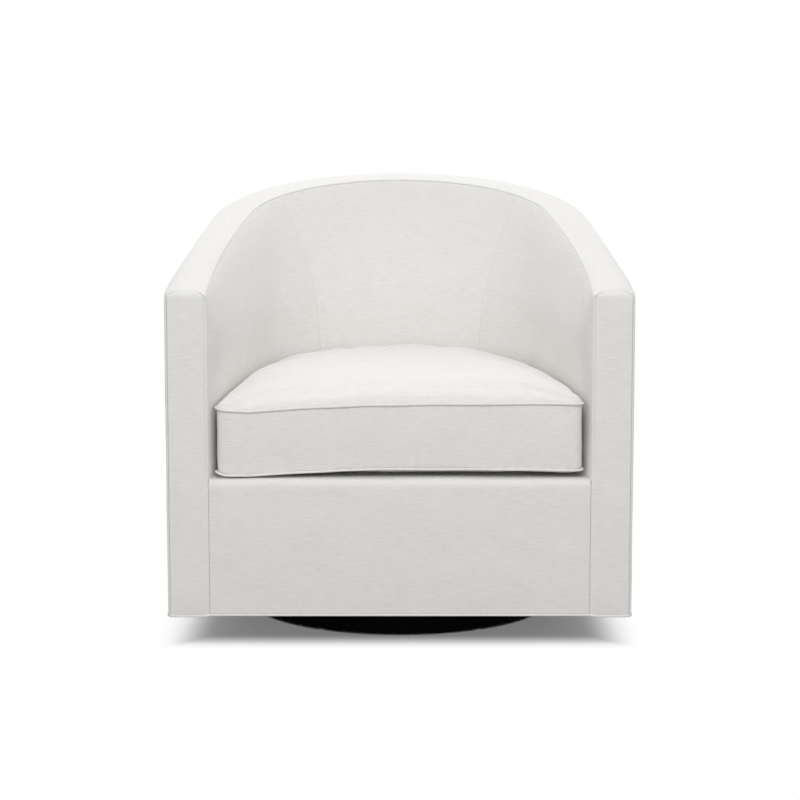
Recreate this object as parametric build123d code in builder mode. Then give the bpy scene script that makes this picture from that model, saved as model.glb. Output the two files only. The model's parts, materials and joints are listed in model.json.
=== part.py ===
from build123d import *
import os
from math import cos, radians, sin

os.makedirs("parts", exist_ok=True)

# A swivel barrel chair, in millimetres. The origin is on the floor on the swivel axis,
# +Z is up and the sitter faces -Y. The arms and the back share one sloped top.

# ---- whole chair
chair_width = 800.0  # over the arm fronts
chair_depth = 800.0  # arm fronts to outside back
arm_height = 621.5  # floor to the top of an arm at its front
top_slope = 9.4  # degrees that the top rises towards the back
hem_height = 65.0  # floor to the lower edge of the covers
front_rail_height = 303.0  # floor to the rolled edge under the cushion

# ---- outer plan: nearly straight sides that run into a round back
outer_radius = 346.0
outer_blend = 8.7  # degrees past the widest point where a side leaves the round back

# ---- sitting space: three outlines, at the seat, at cushion height and at the rim
arm_thickness = 71.5  # at the arm front
rim_wall = 46.0  # inside back to outside back, at the top
rim_side_wall = 65.0  # the same at the sides of the round back
rim_blend = 10.8
waist_height = 445.0
waist_wall = 213.0  # the same at cushion height
waist_side_wall = 84.0
waist_blend = 15.6
foot_wall = 230.0  # the same at the seat deck
foot_side_wall = 90.0
foot_blend = 15.5

# ---- layers
cover = 2.5  # cloth with its wadding
board = 3.0  # fibreboard under the outside cloth
edge_pad = 6.0  # padding over the top and the arm fronts
roll_radius = 16.0  # the rolled edge of the front rail
arm_foam = 20.0
back_foam_foot = 30.0
back_foam_waist = 40.0
back_foam_rim = 12.0
webbing = 2.0
webbing_count = 4
webbing_width = 50.0
webbing_step = 62.0
webbing_above_deck = 27.0
deck_pad_height = 11.3
deck_cloth_height = 1.5
hem_welt_height = 3.5
hem_welt_proud = 1.5
dust_cloth = 1.5
dust_hole_radius = 225.0
deck_clearance = 0.7  # from the deck to the webbing behind it

# ---- seams of the inside and the outside
seam_foot = (158.0, 266.0)  # from the middle and from the outside back, at the cushion
seam_head = (225.0, 157.0)  # the same at the rim
back_seam = 20.0  # the outside back's seams lie this far behind the start of the round back

# ---- wooden frame
panel = 20.0  # plywood of the seat box
top_rail_height = 22.0
rib = 18.0
post_depth = 32.0
block_leg = 62.0
block_height = 40.0
arm_rib_angle = 92.0  # from straight back
back_rib_angle = 42.0

# ---- base and swivel
base_radius = 283.0
base_ring_wall = 15.0
base_ring_height = 45.0
base_board = 12.0
glide_height = 3.0
glide_radius = 7.0
glide_pin_radius = 1.5
glide_pin_length = 10.0
glide_count = 6
plate_side = 300.0
plate_corner = 20.0
plate = 3.0
plate_hole = 130.0  # screw holes from the axis, along X and along Y
screw_radius = 2.5
screw_head_radius = 5.0
screw_head_height = 2.5
edge_break = 1.0
board_round = 2.0
board_screw_count = 8
board_screw_length = 35.0
ball_radius = 5.0
ball_pitch_radius = 130.0
ball_count = 24
ball_clearance = 0.05
race_height = 5.0
race_width = 24.0
race_gap = 4.0  # between the two races
cage_width = 16.0
cage_thickness = 1.0
king_radius = 6.0
king_clearance = 0.06
king_head_radius = 11.0
king_head_height = 8.0
king_nut_height = 9.0
king_end_play = 0.3
swivel_rail_width = 90.0
swivel_rail_height = 22.0

# ---- seat springs
spring_count = 5
spring_spacing = 108.0
spring_wire = 1.9  # radius
spring_half_width = 22.0
spring_bends = 20
clip = 0.6
clip_width = 12.0
clip_tail = 7.6
tie_radius = 1.2
tie_count = 2
spring_rail = 25.0
spring_rail_height = 40.0

# ---- loose cushion
cushion_side_gap = 11.0
cushion_front_gap = 10.0
cushion_rear_gap = 17.0  # the zip's slider runs in it
cushion_draw_in = 4.0  # the front draws back this much between its corners
cushion_bottom_seam = 315.0
cushion_top_seam = 433.0
cushion_deck_gap = 0.4
crown_reach = 170.0
crown_rise = 28.0
crown_steps = 5
belly_reach = 60.0
cushion_cloth = 2.0
zip_half_angle = 50.0
zip_width = 26.0
slider_end_angle = 4.0  # from the closed end of the zip to the middle of the slider
slider_gap = 0.3
slider_width = 10.0
slider_height = 13.0
slider_thick = 3.0
pull_width = 5.0
pull_length = 24.0
pull_thick = 1.0

# ---- worked out from the sizes above
slope = radians(top_slope)
front_y = -chair_depth / 2
back_y = chair_depth / 2
half_width = chair_width / 2
inner_half = half_width - arm_thickness
rim_radius = outer_radius - rim_side_wall
waist_radius = outer_radius - waist_side_wall
foot_radius = outer_radius - foot_side_wall
foot_back = back_y - foot_wall
waist_back = back_y - waist_wall
frame_inset = cover + board
panel_inset = frame_inset + panel
pad_depth = cover + edge_pad
body_low = hem_height + hem_welt_height
side_join = back_y - outer_radius + outer_radius * sin(radians(outer_blend))
deck_top = front_rail_height
pad_low = deck_top - deck_cloth_height - deck_pad_height
tall = chair_width + chair_depth  # longer than any cut
lead = 40.0  # how far the sitting space's cutter stands out of the front
rim_lead = 12.0  # and out of the top
top_plane = Plane(origin=(0, front_y, arm_height), x_dir=(1, 0, 0), z_dir=(0, -sin(slope), cos(slope)))


def save(piece, name):
    piece.part.label = name
    export_step(piece.part, f"parts/{name}.step")


def d_plan(half, front, back, radius, blend, front_lead=0.0, draw_in=0.0):
    # a front line, two slightly bowed sides and a round back, as a flat face
    turn = radians(blend)
    side_x = radius * cos(turn)
    side_y = back - radius + radius * sin(turn)
    with BuildSketch() as plan:
        with BuildLine():
            if draw_in:
                ThreePointArc((-half, front), (0, front + draw_in), (half, front))
            elif front_lead:
                Polyline((-half, front), (-half, front - front_lead), (half, front - front_lead), (half, front))
            else:
                Line((-half, front), (half, front))
            TangentArc((side_x, side_y), (half, front), tangent=(sin(turn), -cos(turn)))
            ThreePointArc((side_x, side_y), (0, back), (-side_x, side_y))
            TangentArc((-side_x, side_y), (-half, front), tangent=(-sin(turn), -cos(turn)))
        make_face()
    return plan.sketch


def outer_plan(inset):
    return d_plan(half_width - inset, front_y + inset, back_y - inset, outer_radius - inset, outer_blend)


def up_slope(y):
    return (y - front_y) / cos(slope)


def sitting_space(side, foot, waist, rim):
    # the hollow between the arms, grown by side into the arms and by the rest into the back
    rim_back = up_slope(back_y - rim_wall) + rim
    with BuildPart() as space:
        with BuildSketch(Plane.XY.offset(pad_low)):
            add(d_plan(inner_half + side, front_y, foot_back + foot, foot_radius + side, foot_blend, lead))
        with BuildSketch(Plane.XY.offset(waist_height)):
            add(d_plan(inner_half + side, front_y, waist_back + waist, waist_radius + side, waist_blend, lead))
        with BuildSketch(top_plane.offset(rim_lead)):
            add(d_plan(inner_half + side, 0, rim_back + rim_lead / 2, rim_radius + side, rim_blend, lead))
        loft()
    return space.part


def half_space(y_low, y_high, x_low=-tall, x_high=tall):
    # a plan rectangle, as a flat face
    with BuildSketch() as area:
        with Locations(((x_low + x_high) / 2, (y_low + y_high) / 2)):
            Rectangle(x_high - x_low, y_high - y_low)
    return area.sketch


face_space = sitting_space(0, 0, 0, 0)
foam_space = sitting_space(cover, cover, cover, cover)
webbing_space = sitting_space(
    cover + arm_foam, cover + back_foam_foot, cover + back_foam_waist, cover + back_foam_rim
)
frame_side = cover + arm_foam + webbing
frame_space = sitting_space(
    frame_side,
    cover + back_foam_foot + webbing,
    cover + back_foam_waist + webbing,
    cover + back_foam_rim + webbing,
)
post_inner = inner_half + frame_side
rail_front = front_y + pad_depth
post_back = rail_front + post_depth

# =============================== base ===============================
ring_mid = base_radius - base_ring_wall / 2
ring_top = glide_height + base_ring_height
base_top_height = ring_top + base_board
lower_plate_top = base_top_height + plate
race_low = lower_plate_top + race_height
ball_height = race_low + race_gap / 2
race_high = race_low + race_gap
upper_plate_low = race_high + race_height
upper_plate_top = upper_plate_low + plate
glide_places = PolarLocations(ring_mid, glide_count)
board_screw_places = PolarLocations(ring_mid, board_screw_count, start_angle=180 / glide_count / 2)
plate_screw_places = GridLocations(2 * plate_hole, 2 * plate_hole, 2, 2)

with BuildPart() as base_glides:
    with BuildSketch(Plane.XY):
        with glide_places:
            Circle(glide_radius)
    extrude(amount=glide_height)
    chamfer(base_glides.edges().group_by(Axis.Z)[0], edge_break)
    with BuildSketch(Plane.XY.offset(glide_height)):
        with glide_places:
            Circle(glide_pin_radius)
    extrude(amount=glide_pin_length)
save(base_glides, "base_glides")

with BuildPart() as base_ring:
    with BuildSketch(Plane.XY.offset(glide_height)):
        Circle(base_radius)
        Circle(base_radius - base_ring_wall, mode=Mode.SUBTRACT)
        with glide_places:
            Circle(glide_pin_radius, mode=Mode.SUBTRACT)
    extrude(amount=glide_pin_length)
    with BuildSketch(Plane.XY.offset(glide_height + glide_pin_length)):
        Circle(base_radius)
        Circle(base_radius - base_ring_wall, mode=Mode.SUBTRACT)
    extrude(amount=base_ring_height - glide_pin_length)
    with BuildSketch(Plane.XY.offset(ring_top)):
        with board_screw_places:
            Circle(screw_radius)
    extrude(amount=base_board - board_screw_length, mode=Mode.SUBTRACT)
save(base_ring, "base_ring")

with BuildPart() as base_top:
    with BuildSketch(Plane.XY.offset(ring_top)):
        Circle(base_radius)
        Circle(king_head_radius + plate, mode=Mode.SUBTRACT)
    extrude(amount=base_board)
    fillet(base_top.edges().filter_by(GeomType.CIRCLE).sort_by(SortBy.RADIUS)[-1:], board_round)
    with BuildSketch(Plane.XY.offset(base_top_height)):
        with board_screw_places:
            Circle(screw_radius)
        with plate_screw_places:
            Circle(screw_radius)
    extrude(amount=-base_board, mode=Mode.SUBTRACT)
    with board_screw_places:
        with Locations((0, 0, base_top_height - screw_head_height / 2)):
            Cone(screw_radius, screw_head_radius, screw_head_height, mode=Mode.SUBTRACT)
save(base_top, "base_top")

with BuildPart() as base_screws:
    with BuildSketch(Plane.XY.offset(base_top_height)):
        with board_screw_places:
            Circle(screw_radius)
    extrude(amount=-board_screw_length)
    with board_screw_places:
        with Locations((0, 0, base_top_height - screw_head_height / 2)):
            Cone(screw_radius, screw_head_radius, screw_head_height)
save(base_screws, "base_screws")


def bearing_plate(level, away):
    # a square plate on one side of the balls, with its raised race; away is +1 above the balls
    with BuildPart() as half:
        with BuildSketch(Plane.XY.offset(level)):
            RectangleRounded(plate_side, plate_side, plate_corner)
            with plate_screw_places:
                Circle(screw_radius, mode=Mode.SUBTRACT)
            Circle(king_radius + king_clearance, mode=Mode.SUBTRACT)
        extrude(amount=away * plate)
        with BuildSketch(Plane.XY.offset(level)):
            Circle(ball_pitch_radius + race_width / 2)
            Circle(ball_pitch_radius - race_width / 2, mode=Mode.SUBTRACT)
        extrude(amount=-away * race_height)
        with Locations((0, 0, ball_height)):
            Torus(ball_pitch_radius, ball_radius + ball_clearance, mode=Mode.SUBTRACT)
    return half


save(bearing_plate(lower_plate_top, -1), "lower_swivel_plate")
save(bearing_plate(upper_plate_low, 1), "upper_swivel_plate")

with BuildPart() as plate_screws:
    with BuildSketch(Plane.XY.offset(lower_plate_top)):
        with plate_screw_places:
            Circle(screw_radius)
    extrude(amount=-plate - base_board)
    with BuildSketch(Plane.XY.offset(lower_plate_top)):
        with plate_screw_places:
            Circle(screw_head_radius)
    extrude(amount=screw_head_height)
    fillet(plate_screws.edges().group_by(Axis.Z)[-1], edge_break)
save(plate_screws, "plate_screws")

with BuildPart() as king_bolt:
    with BuildSketch(Plane.XY.offset(base_top_height)):
        RegularPolygon(king_head_radius, 6)
    extrude(amount=-king_head_height)
    with BuildSketch(Plane.XY.offset(base_top_height)):
        Circle(king_radius)
    extrude(amount=upper_plate_top - base_top_height + king_end_play + king_nut_height + plate)
save(king_bolt, "king_bolt")

with BuildPart() as king_nut:
    with BuildSketch(Plane.XY.offset(upper_plate_top + king_end_play)):
        Circle(king_head_radius + plate)
        Circle(king_radius, mode=Mode.SUBTRACT)
    extrude(amount=plate / 2)
    with BuildSketch(Plane.XY.offset(upper_plate_top + king_end_play + plate / 2)):
        RegularPolygon(king_head_radius, 6)
        Circle(king_radius, mode=Mode.SUBTRACT)
    extrude(amount=king_nut_height - plate / 2)
save(king_nut, "king_nut")

with BuildPart() as bearing_balls:
    with Locations((0, 0, ball_height)):
        with PolarLocations(ball_pitch_radius, ball_count):
            Sphere(ball_radius)
save(bearing_balls, "bearing_balls")

with BuildPart() as bearing_cage:
    with BuildSketch(Plane.XY.offset(ball_height - cage_thickness / 2)):
        Circle(ball_pitch_radius + cage_width / 2)
        Circle(ball_pitch_radius - cage_width / 2, mode=Mode.SUBTRACT)
        with PolarLocations(ball_pitch_radius, ball_count):
            Circle(ball_radius + ball_clearance, mode=Mode.SUBTRACT)
    extrude(amount=cage_thickness)
save(bearing_cage, "bearing_cage")

# =========================== wooden frame ===========================
with BuildPart() as swivel_bolts:
    with BuildSketch(Plane.XY.offset(upper_plate_low)):
        with plate_screw_places:
            Circle(screw_radius)
    extrude(amount=plate + swivel_rail_height)
    with BuildSketch(Plane.XY.offset(upper_plate_low)):
        with plate_screw_places:
            Circle(screw_head_radius)
    extrude(amount=-screw_head_height)
save(swivel_bolts, "swivel_bolts")

front_panel_back = rail_front + panel
rail_half_width = swivel_rail_width / 2
with BuildPart() as swivel_rails:
    with BuildSketch(Plane.XY.offset(upper_plate_top)):
        for rail_x in (-plate_hole, plate_hole):
            strip = half_space(front_panel_back, tall, rail_x - rail_half_width, rail_x + rail_half_width)
            add(outer_plan(panel_inset) & strip)
        with plate_screw_places:
            Circle(screw_radius, mode=Mode.SUBTRACT)
    extrude(amount=swivel_rail_height)
save(swivel_rails, "swivel_rails")

rail_top = pad_low - 2 * spring_wire - clip * 2
with BuildPart() as front_rail:
    with BuildSketch(Plane.XY.offset(body_low)):
        add(half_space(rail_front, front_panel_back, -post_inner, post_inner))
    extrude(amount=rail_top - body_low)
save(front_rail, "front_rail")

box_zones = {
    "side_panel_left": half_space(post_back, side_join, -tall, 0),
    "side_panel_right": half_space(post_back, side_join, 0, tall),
    "back_panel": half_space(side_join, tall),
}
for name, zone in box_zones.items():
    with BuildPart() as box_panel:
        with BuildSketch(Plane.XY.offset(body_low)):
            add(outer_plan(frame_inset))
            add(outer_plan(panel_inset), mode=Mode.SUBTRACT)
            add(zone, mode=Mode.INTERSECT)
        extrude(amount=pad_low - body_low)
    save(box_panel, name)

with BuildPart() as spring_rail_back:
    with BuildSketch(Plane.XY.offset(rail_top)):
        add(outer_plan(panel_inset))
        add(half_space(foot_back, foot_back + spring_rail), mode=Mode.INTERSECT)
    extrude(amount=-spring_rail_height)
save(spring_rail_back, "spring_rail_back")

for side, name in ((-1, "arm_post_left"), (1, "arm_post_right")):
    low, high = sorted((side * post_inner, side * tall))
    with BuildPart() as arm_post:
        with BuildSketch(Plane.XY.offset(body_low)):
            add(outer_plan(frame_inset))
            add(half_space(rail_front, post_back, low, high), mode=Mode.INTERSECT)
        extrude(amount=tall)
        split(bisect_by=top_plane.offset(-pad_depth - top_rail_height), keep=Keep.BOTTOM)
    save(arm_post, name)

frame_plan = outer_plan(frame_inset) & half_space(rail_front, tall)
rail_zones = {
    "top_rail_left": half_space(-tall, side_join, -tall, 0),
    "top_rail_right": half_space(-tall, side_join, 0, tall),
    "top_rail_back": half_space(side_join, tall),
}
for name, zone in rail_zones.items():
    with BuildPart() as top_rail:
        with BuildSketch(Plane.XY.offset(waist_height)):
            add(frame_plan)
            add(zone, mode=Mode.INTERSECT)
        extrude(amount=tall)
        split(bisect_by=top_plane.offset(-pad_depth), keep=Keep.BOTTOM)
        split(bisect_by=top_plane.offset(-pad_depth - top_rail_height), keep=Keep.TOP)
        add(frame_space, mode=Mode.SUBTRACT)
    save(top_rail, name)

# upright ribs between the seat box and the top rail: plan angle from straight back, name
round_centre = back_y - outer_radius
rib_angles = {
    "arm_rib_left": arm_rib_angle,
    "back_rib_left": back_rib_angle,
    "back_rib_centre": 0.0,
    "back_rib_right": -back_rib_angle,
    "arm_rib_right": -arm_rib_angle,
}
for name, angle in rib_angles.items():
    with BuildPart() as upright:
        with BuildSketch(Plane.XY.offset(pad_low)):
            with Locations(Location((0, round_centre, 0), (0, 0, 1), angle)):
                with Locations((0, outer_radius / 2)):
                    Rectangle(rib, outer_radius)
            add(outer_plan(frame_inset), mode=Mode.INTERSECT)
        extrude(amount=tall)
        split(bisect_by=top_plane.offset(-pad_depth - top_rail_height), keep=Keep.BOTTOM)
        add(frame_space, mode=Mode.SUBTRACT)
    save(upright, name)

with BuildPart() as corner_blocks:
    with BuildSketch(Plane.XY.offset(rail_top - spring_rail_height)):
        for side in (-1, 1):
            with BuildLine():
                Polyline((side * (post_inner - block_leg), front_panel_back), (side * tall, front_panel_back),
                         (side * tall, post_back + block_leg), (side * post_inner, post_back + block_leg),
                         (side * (post_inner - block_leg), front_panel_back))
            make_face()
            with BuildLine():
                Polyline((side * (foot_radius - block_leg / 2), foot_back), (side * tall, foot_back),
                         (side * tall, foot_back - block_leg), (side * (foot_radius + block_leg / 2),
                         foot_back - block_leg), (side * (foot_radius - block_leg / 2), foot_back))
            make_face()
        add(outer_plan(panel_inset), mode=Mode.INTERSECT)
        add(half_space(front_y, post_back, post_inner, tall), mode=Mode.SUBTRACT)
        add(half_space(front_y, post_back, -tall, -post_inner), mode=Mode.SUBTRACT)
    extrude(amount=block_height - spring_wire)
save(corner_blocks, "corner_blocks")

# ============================ seat springs ============================
wire_height = rail_top + clip + spring_wire
spring_start = rail_front + panel / 2
spring_end = foot_back + spring_rail / 2
spring_pitch = (spring_end - spring_start) / spring_bends
spring_places = [spring_spacing * (k - (spring_count - 1) / 2) for k in range(spring_count)]
rung = spring_half_width - spring_pitch / 2

with BuildPart() as seat_springs:
    for place in spring_places:
        with BuildLine(Plane.XY.offset(wire_height)) as zigzag:
            for k in range(spring_bends + 1):
                y = spring_start + k * spring_pitch
                way = 1 if k % 2 == 0 else -1
                Line((place - way * rung, y), (place + way * rung, y))
                if k < spring_bends:
                    ThreePointArc((place + way * rung, y), (place + way * spring_half_width, y + spring_pitch / 2),
                                  (place + way * rung, y + spring_pitch))
        start = Plane(origin=(place - rung, spring_start, wire_height), x_dir=(0, 1, 0), z_dir=(1, 0, 0))
        with BuildSketch(start):
            Circle(spring_wire)
        sweep(path=zigzag.wire())
save(seat_springs, "seat_springs")

with BuildPart() as spring_clips:
    for end in (spring_start, spring_end):
        section = Plane(origin=(0, end, wire_height), x_dir=(0, 1, 0), z_dir=(1, 0, 0))
        for place in spring_places:
            with BuildSketch(section.offset(place - clip_width / 2)):
                Circle(spring_wire + clip)
                with Locations((spring_wire + 2 * clip, -spring_wire - clip / 2)):
                    Rectangle(clip_tail, clip)
                Circle(spring_wire, mode=Mode.SUBTRACT)
            extrude(amount=clip_width)
save(spring_clips, "spring_clips")

tie_reach = spring_places[-1] - spring_places[0] + 2 * spring_half_width
with BuildPart() as spring_ties:
    for k in range(tie_count):
        row = round(spring_bends * (k + 1) / (tie_count + 1))
        y = spring_start + (row + 0.5) * spring_pitch
        under = wire_height - spring_wire - tie_radius
        with BuildSketch(Plane(origin=(-tie_reach / 2, y, under), x_dir=(0, 1, 0), z_dir=(1, 0, 0))):
            Circle(tie_radius)
        extrude(amount=tie_reach)
save(spring_ties, "spring_ties")

# ========================= padding and decking =========================
roll_back = front_panel_back + roll_radius
pad_face = front_y + cover
pad_top = front_rail_height - cover
with BuildPart() as front_rail_pad:
    with BuildSketch(Plane.YZ.offset(-inner_half - cover)):
        with BuildLine():
            Polyline((pad_face + roll_radius, pad_top), (roll_back, pad_top), (roll_back, pad_low),
                     (rail_front, pad_low), (rail_front, body_low), (pad_face, body_low),
                     (pad_face, pad_top - roll_radius))
            RadiusArc((pad_face, pad_top - roll_radius), (pad_face + roll_radius, pad_top), roll_radius)
        make_face()
    extrude(amount=2 * (inner_half + cover))
save(front_rail_pad, "front_rail_pad")

with BuildPart() as front_rail_cover:
    with BuildSketch(Plane.YZ.offset(-inner_half)):
        with BuildLine():
            Polyline((pad_face + roll_radius, pad_top), (roll_back, pad_top), (roll_back, front_rail_height),
                     (pad_face + roll_radius, front_rail_height))
            RadiusArc((pad_face + roll_radius, front_rail_height), (front_y, pad_top - roll_radius),
                      -roll_radius - cover)
            Polyline((front_y, pad_top - roll_radius), (front_y, body_low), (pad_face, body_low),
                     (pad_face, pad_top - roll_radius))
            RadiusArc((pad_face, pad_top - roll_radius), (pad_face + roll_radius, pad_top), roll_radius)
        make_face()
    extrude(amount=2 * inner_half)
save(front_rail_cover, "front_rail_cover")

deck_side = frame_side - deck_clearance
deck_rear = cover + back_foam_foot + webbing - deck_clearance


def deck_plan():
    plan = d_plan(inner_half + deck_side, front_y, foot_back + deck_rear, foot_radius + deck_side, foot_blend)
    return plan & half_space(roll_back, tall)


with BuildPart() as deck_pad:
    with BuildSketch(Plane.XY.offset(pad_low)):
        add(deck_plan())
    extrude(amount=deck_pad_height)
save(deck_pad, "deck_pad")

with BuildPart() as deck_cloth:
    with BuildSketch(Plane.XY.offset(deck_top - deck_cloth_height)):
        add(deck_plan())
    extrude(amount=deck_cloth_height)
save(deck_cloth, "deck_cloth")

with BuildPart() as back_webbing:
    for k in range(webbing_count):
        with BuildSketch(Plane.XY.offset(deck_top + webbing_above_deck + k * webbing_step)):
            add(frame_plan)
        extrude(amount=webbing_width)
    add(frame_space, mode=Mode.INTERSECT)
    add(webbing_space, mode=Mode.SUBTRACT)
save(back_webbing, "back_webbing")

# the seams of the inside back: upright planes through a point at the cushion and one at the rim
seam_run = Vector(seam_head[0] - seam_foot[0], seam_foot[1] - seam_head[1]).normalized()


def seam_plane(side):
    # its normal points outwards, to the arm
    return Plane(origin=(side * seam_foot[0], back_y - seam_foot[1], 0), x_dir=(side * seam_run.X, seam_run.Y, 0),
                 z_dir=(side * seam_run.Y, -seam_run.X, 0))


def lining(name, inner, outer, front, drop):
    # a layer of the inside, cut into a left arm, a right arm and a back piece
    with BuildPart() as layer:
        with BuildSketch(Plane.XY.offset(deck_top)):
            add(outer_plan(0))
            add(half_space(front, tall), mode=Mode.INTERSECT)
        extrude(amount=tall)
        split(bisect_by=top_plane.offset(-drop), keep=Keep.BOTTOM)
        add(outer, mode=Mode.INTERSECT)
        add(inner, mode=Mode.SUBTRACT)
    for side, word in ((-1, "left"), (1, "right")):
        with BuildPart() as arm_side:
            add(layer.part)
            split(bisect_by=seam_plane(side), keep=Keep.TOP)
        save(arm_side, f"{name}_{word}")
    with BuildPart() as back_side:
        add(layer.part)
        split(bisect_by=seam_plane(-1), keep=Keep.BOTTOM)
        split(bisect_by=seam_plane(1), keep=Keep.BOTTOM)
    save(back_side, f"{name}_back")


lining("inside_foam", foam_space, webbing_space, rail_front, pad_depth)
lining("inside_cover", face_space, foam_space, front_y + cover, cover)

with BuildPart() as arm_front_pads:
    with BuildSketch(Plane.XY.offset(body_low)):
        add(outer_plan(cover))
        add(half_space(front_y + cover, rail_front), mode=Mode.INTERSECT)
        add(half_space(-tall, tall, -inner_half - cover, inner_half + cover), mode=Mode.SUBTRACT)
    extrude(amount=tall)
    split(bisect_by=top_plane.offset(-pad_depth), keep=Keep.BOTTOM)
save(arm_front_pads, "arm_front_pads")


def cap(name, inset, drop, thickness, opening):
    # a layer that runs round the arms and the back on the sloped top
    with BuildPart() as layer:
        with BuildSketch(Plane.XY.offset(waist_height)):
            add(outer_plan(inset))
        extrude(amount=tall)
        split(bisect_by=top_plane.offset(-drop), keep=Keep.BOTTOM)
        split(bisect_by=top_plane.offset(-drop - thickness), keep=Keep.TOP)
        add(opening, mode=Mode.SUBTRACT)
    save(layer, name)


cap("top_pad", cover, cover, edge_pad, foam_space)
cap("top_band", 0, 0, cover, face_space)

# ============================ outside layers ============================
def casing(name, outer_inset, inner_inset, front, drop):
    # a layer of the outside, in a left, a right and a back piece
    zones = {
        "left": half_space(front, side_join + back_seam, -tall, 0),
        "right": half_space(front, side_join + back_seam, 0, tall),
        "back": half_space(side_join + back_seam, tall),
    }
    for word, zone in zones.items():
        with BuildPart() as layer:
            with BuildSketch(Plane.XY.offset(body_low)):
                add(outer_plan(outer_inset))
                add(outer_plan(inner_inset), mode=Mode.SUBTRACT)
                add(zone, mode=Mode.INTERSECT)
            extrude(amount=tall)
            split(bisect_by=top_plane.offset(-drop), keep=Keep.BOTTOM)
        save(layer, f"{name}_{word}")


casing("outside_board", cover, frame_inset, rail_front, pad_depth)
casing("outside_cover", 0, cover, front_y + cover, cover)

for side, name in ((-1, "arm_front_cover_left"), (1, "arm_front_cover_right")):
    low, high = sorted((side * inner_half, side * tall))
    with BuildPart() as arm_front:
        with BuildSketch(Plane.XY.offset(body_low)):
            add(outer_plan(0))
            add(half_space(front_y, front_y + cover, low, high), mode=Mode.INTERSECT)
        extrude(amount=tall)
        split(bisect_by=top_plane.offset(-cover), keep=Keep.BOTTOM)
    save(arm_front, name)

with BuildPart() as hem_welt:
    with BuildSketch(Plane.XY.offset(hem_height)):
        add(outer_plan(-hem_welt_proud))
        add(outer_plan(frame_inset), mode=Mode.SUBTRACT)
    extrude(amount=hem_welt_height)
save(hem_welt, "hem_welt")

with BuildPart() as dust_cover:
    with BuildSketch(Plane.XY.offset(body_low)):
        add(outer_plan(frame_inset))
        Circle(dust_hole_radius, mode=Mode.SUBTRACT)
    extrude(amount=-dust_cloth)
save(dust_cover, "dust_cover")

# ============================ loose cushion ============================
# a crown is a quarter ellipse: how far in from the seam it reaches, how high it rises, its steps
top_crown = (crown_reach, crown_rise, crown_steps)
bottom_crown = (belly_reach, cushion_bottom_seam - deck_top - cushion_deck_gap, crown_steps - 1)


def cushion_plan(level, inset):
    # the outline at a height between the seams; it follows the slope of the inside back
    rise = (level - cushion_bottom_seam) / (cushion_top_seam - cushion_bottom_seam)
    rise = min(max(rise, 0), 1)
    back = foot_back + rise * (waist_back - foot_back) - cushion_rear_gap
    radius = foot_radius + rise * (waist_radius - foot_radius) - cushion_rear_gap
    half = inner_half - cushion_side_gap
    front = front_y + cushion_front_gap
    return d_plan(half - inset, front + inset, back - inset, radius - inset, foot_blend,
                  draw_in=cushion_draw_in)


def cushion_form(skin):
    # the crowned form, smaller by skin all over
    with BuildPart() as form:
        with BuildSketch(Plane.XY.offset(cushion_bottom_seam)):
            add(cushion_plan(cushion_bottom_seam, skin))
        with BuildSketch(Plane.XY.offset(cushion_top_seam)):
            add(cushion_plan(cushion_top_seam, skin))
        loft(ruled=True)
        for seam, crown, way in ((cushion_top_seam, top_crown, 1), (cushion_bottom_seam, bottom_crown, -1)):
            reach, rise, steps = crown
            for k in range(steps + 1):
                turn = radians(90 * k / steps)
                with BuildSketch(Plane.XY.offset(seam + way * (rise - skin) * sin(turn))):
                    add(cushion_plan(seam, skin + reach * (1 - cos(turn))))
            loft(ruled=way < 0)
    return form.part


cushion_outer = cushion_form(0)
cushion_inner = cushion_form(cushion_cloth)
zip_height = (cushion_bottom_seam + cushion_top_seam) / 2
zip_radius = (foot_radius + waist_radius) / 2 - cushion_rear_gap
zip_centre = (foot_back + waist_back) / 2 - cushion_rear_gap - zip_radius

with BuildPart() as cushion_core:
    add(cushion_inner)
save(cushion_core, "cushion_core")

with BuildPart() as zip_zone:
    with BuildSketch(Plane.XY.offset(zip_height - zip_width / 2)):
        with BuildLine():
            reach = 2 * zip_radius
            wide = reach * sin(radians(zip_half_angle))
            deep = reach * cos(radians(zip_half_angle))
            Polyline((0, zip_centre), (wide, zip_centre + deep), (wide, zip_centre + reach),
                     (-wide, zip_centre + reach), (-wide, zip_centre + deep), (0, zip_centre))
        make_face()
    extrude(amount=zip_width)

with BuildPart() as cushion_cover:
    add(cushion_outer)
    add(cushion_inner, mode=Mode.SUBTRACT)
    add(zip_zone.part, mode=Mode.SUBTRACT)
save(cushion_cover, "cushion_cover")

with BuildPart() as zip_tape:
    add(cushion_outer)
    add(cushion_inner, mode=Mode.SUBTRACT)
    add(zip_zone.part, mode=Mode.INTERSECT)
save(zip_tape, "zip_tape")

# the boxing leans back with height, so the slider stands clear of its upper end
slider_lean = (waist_back - foot_back) / (cushion_top_seam - cushion_bottom_seam) * slider_height / 2
slider_face = zip_radius + slider_lean + slider_gap
slider_turn = radians(zip_half_angle - slider_end_angle)
outward = Vector(sin(slider_turn), cos(slider_turn))
slider_plane = Plane(origin=Vector(0, zip_centre, zip_height) + outward * slider_face,
                     x_dir=(cos(slider_turn), -sin(slider_turn), 0), z_dir=outward)
with BuildPart() as zip_slider:
    with BuildSketch(slider_plane):
        RectangleRounded(slider_width, slider_height, slider_width / 4)
    extrude(amount=slider_thick)
    with BuildSketch(slider_plane.offset(slider_thick)):
        with Locations((0, (pull_length - pull_width) / 2)):
            SlotOverall(pull_length, pull_width, rotation=90)
    extrude(amount=pull_thick)
save(zip_slider, "zip_slider")
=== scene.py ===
import json
from math import cos, pi, radians, sin, tan

import bmesh
import bpy
import numpy as np
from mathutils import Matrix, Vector, noise
from mathutils.kdtree import KDTree


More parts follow.
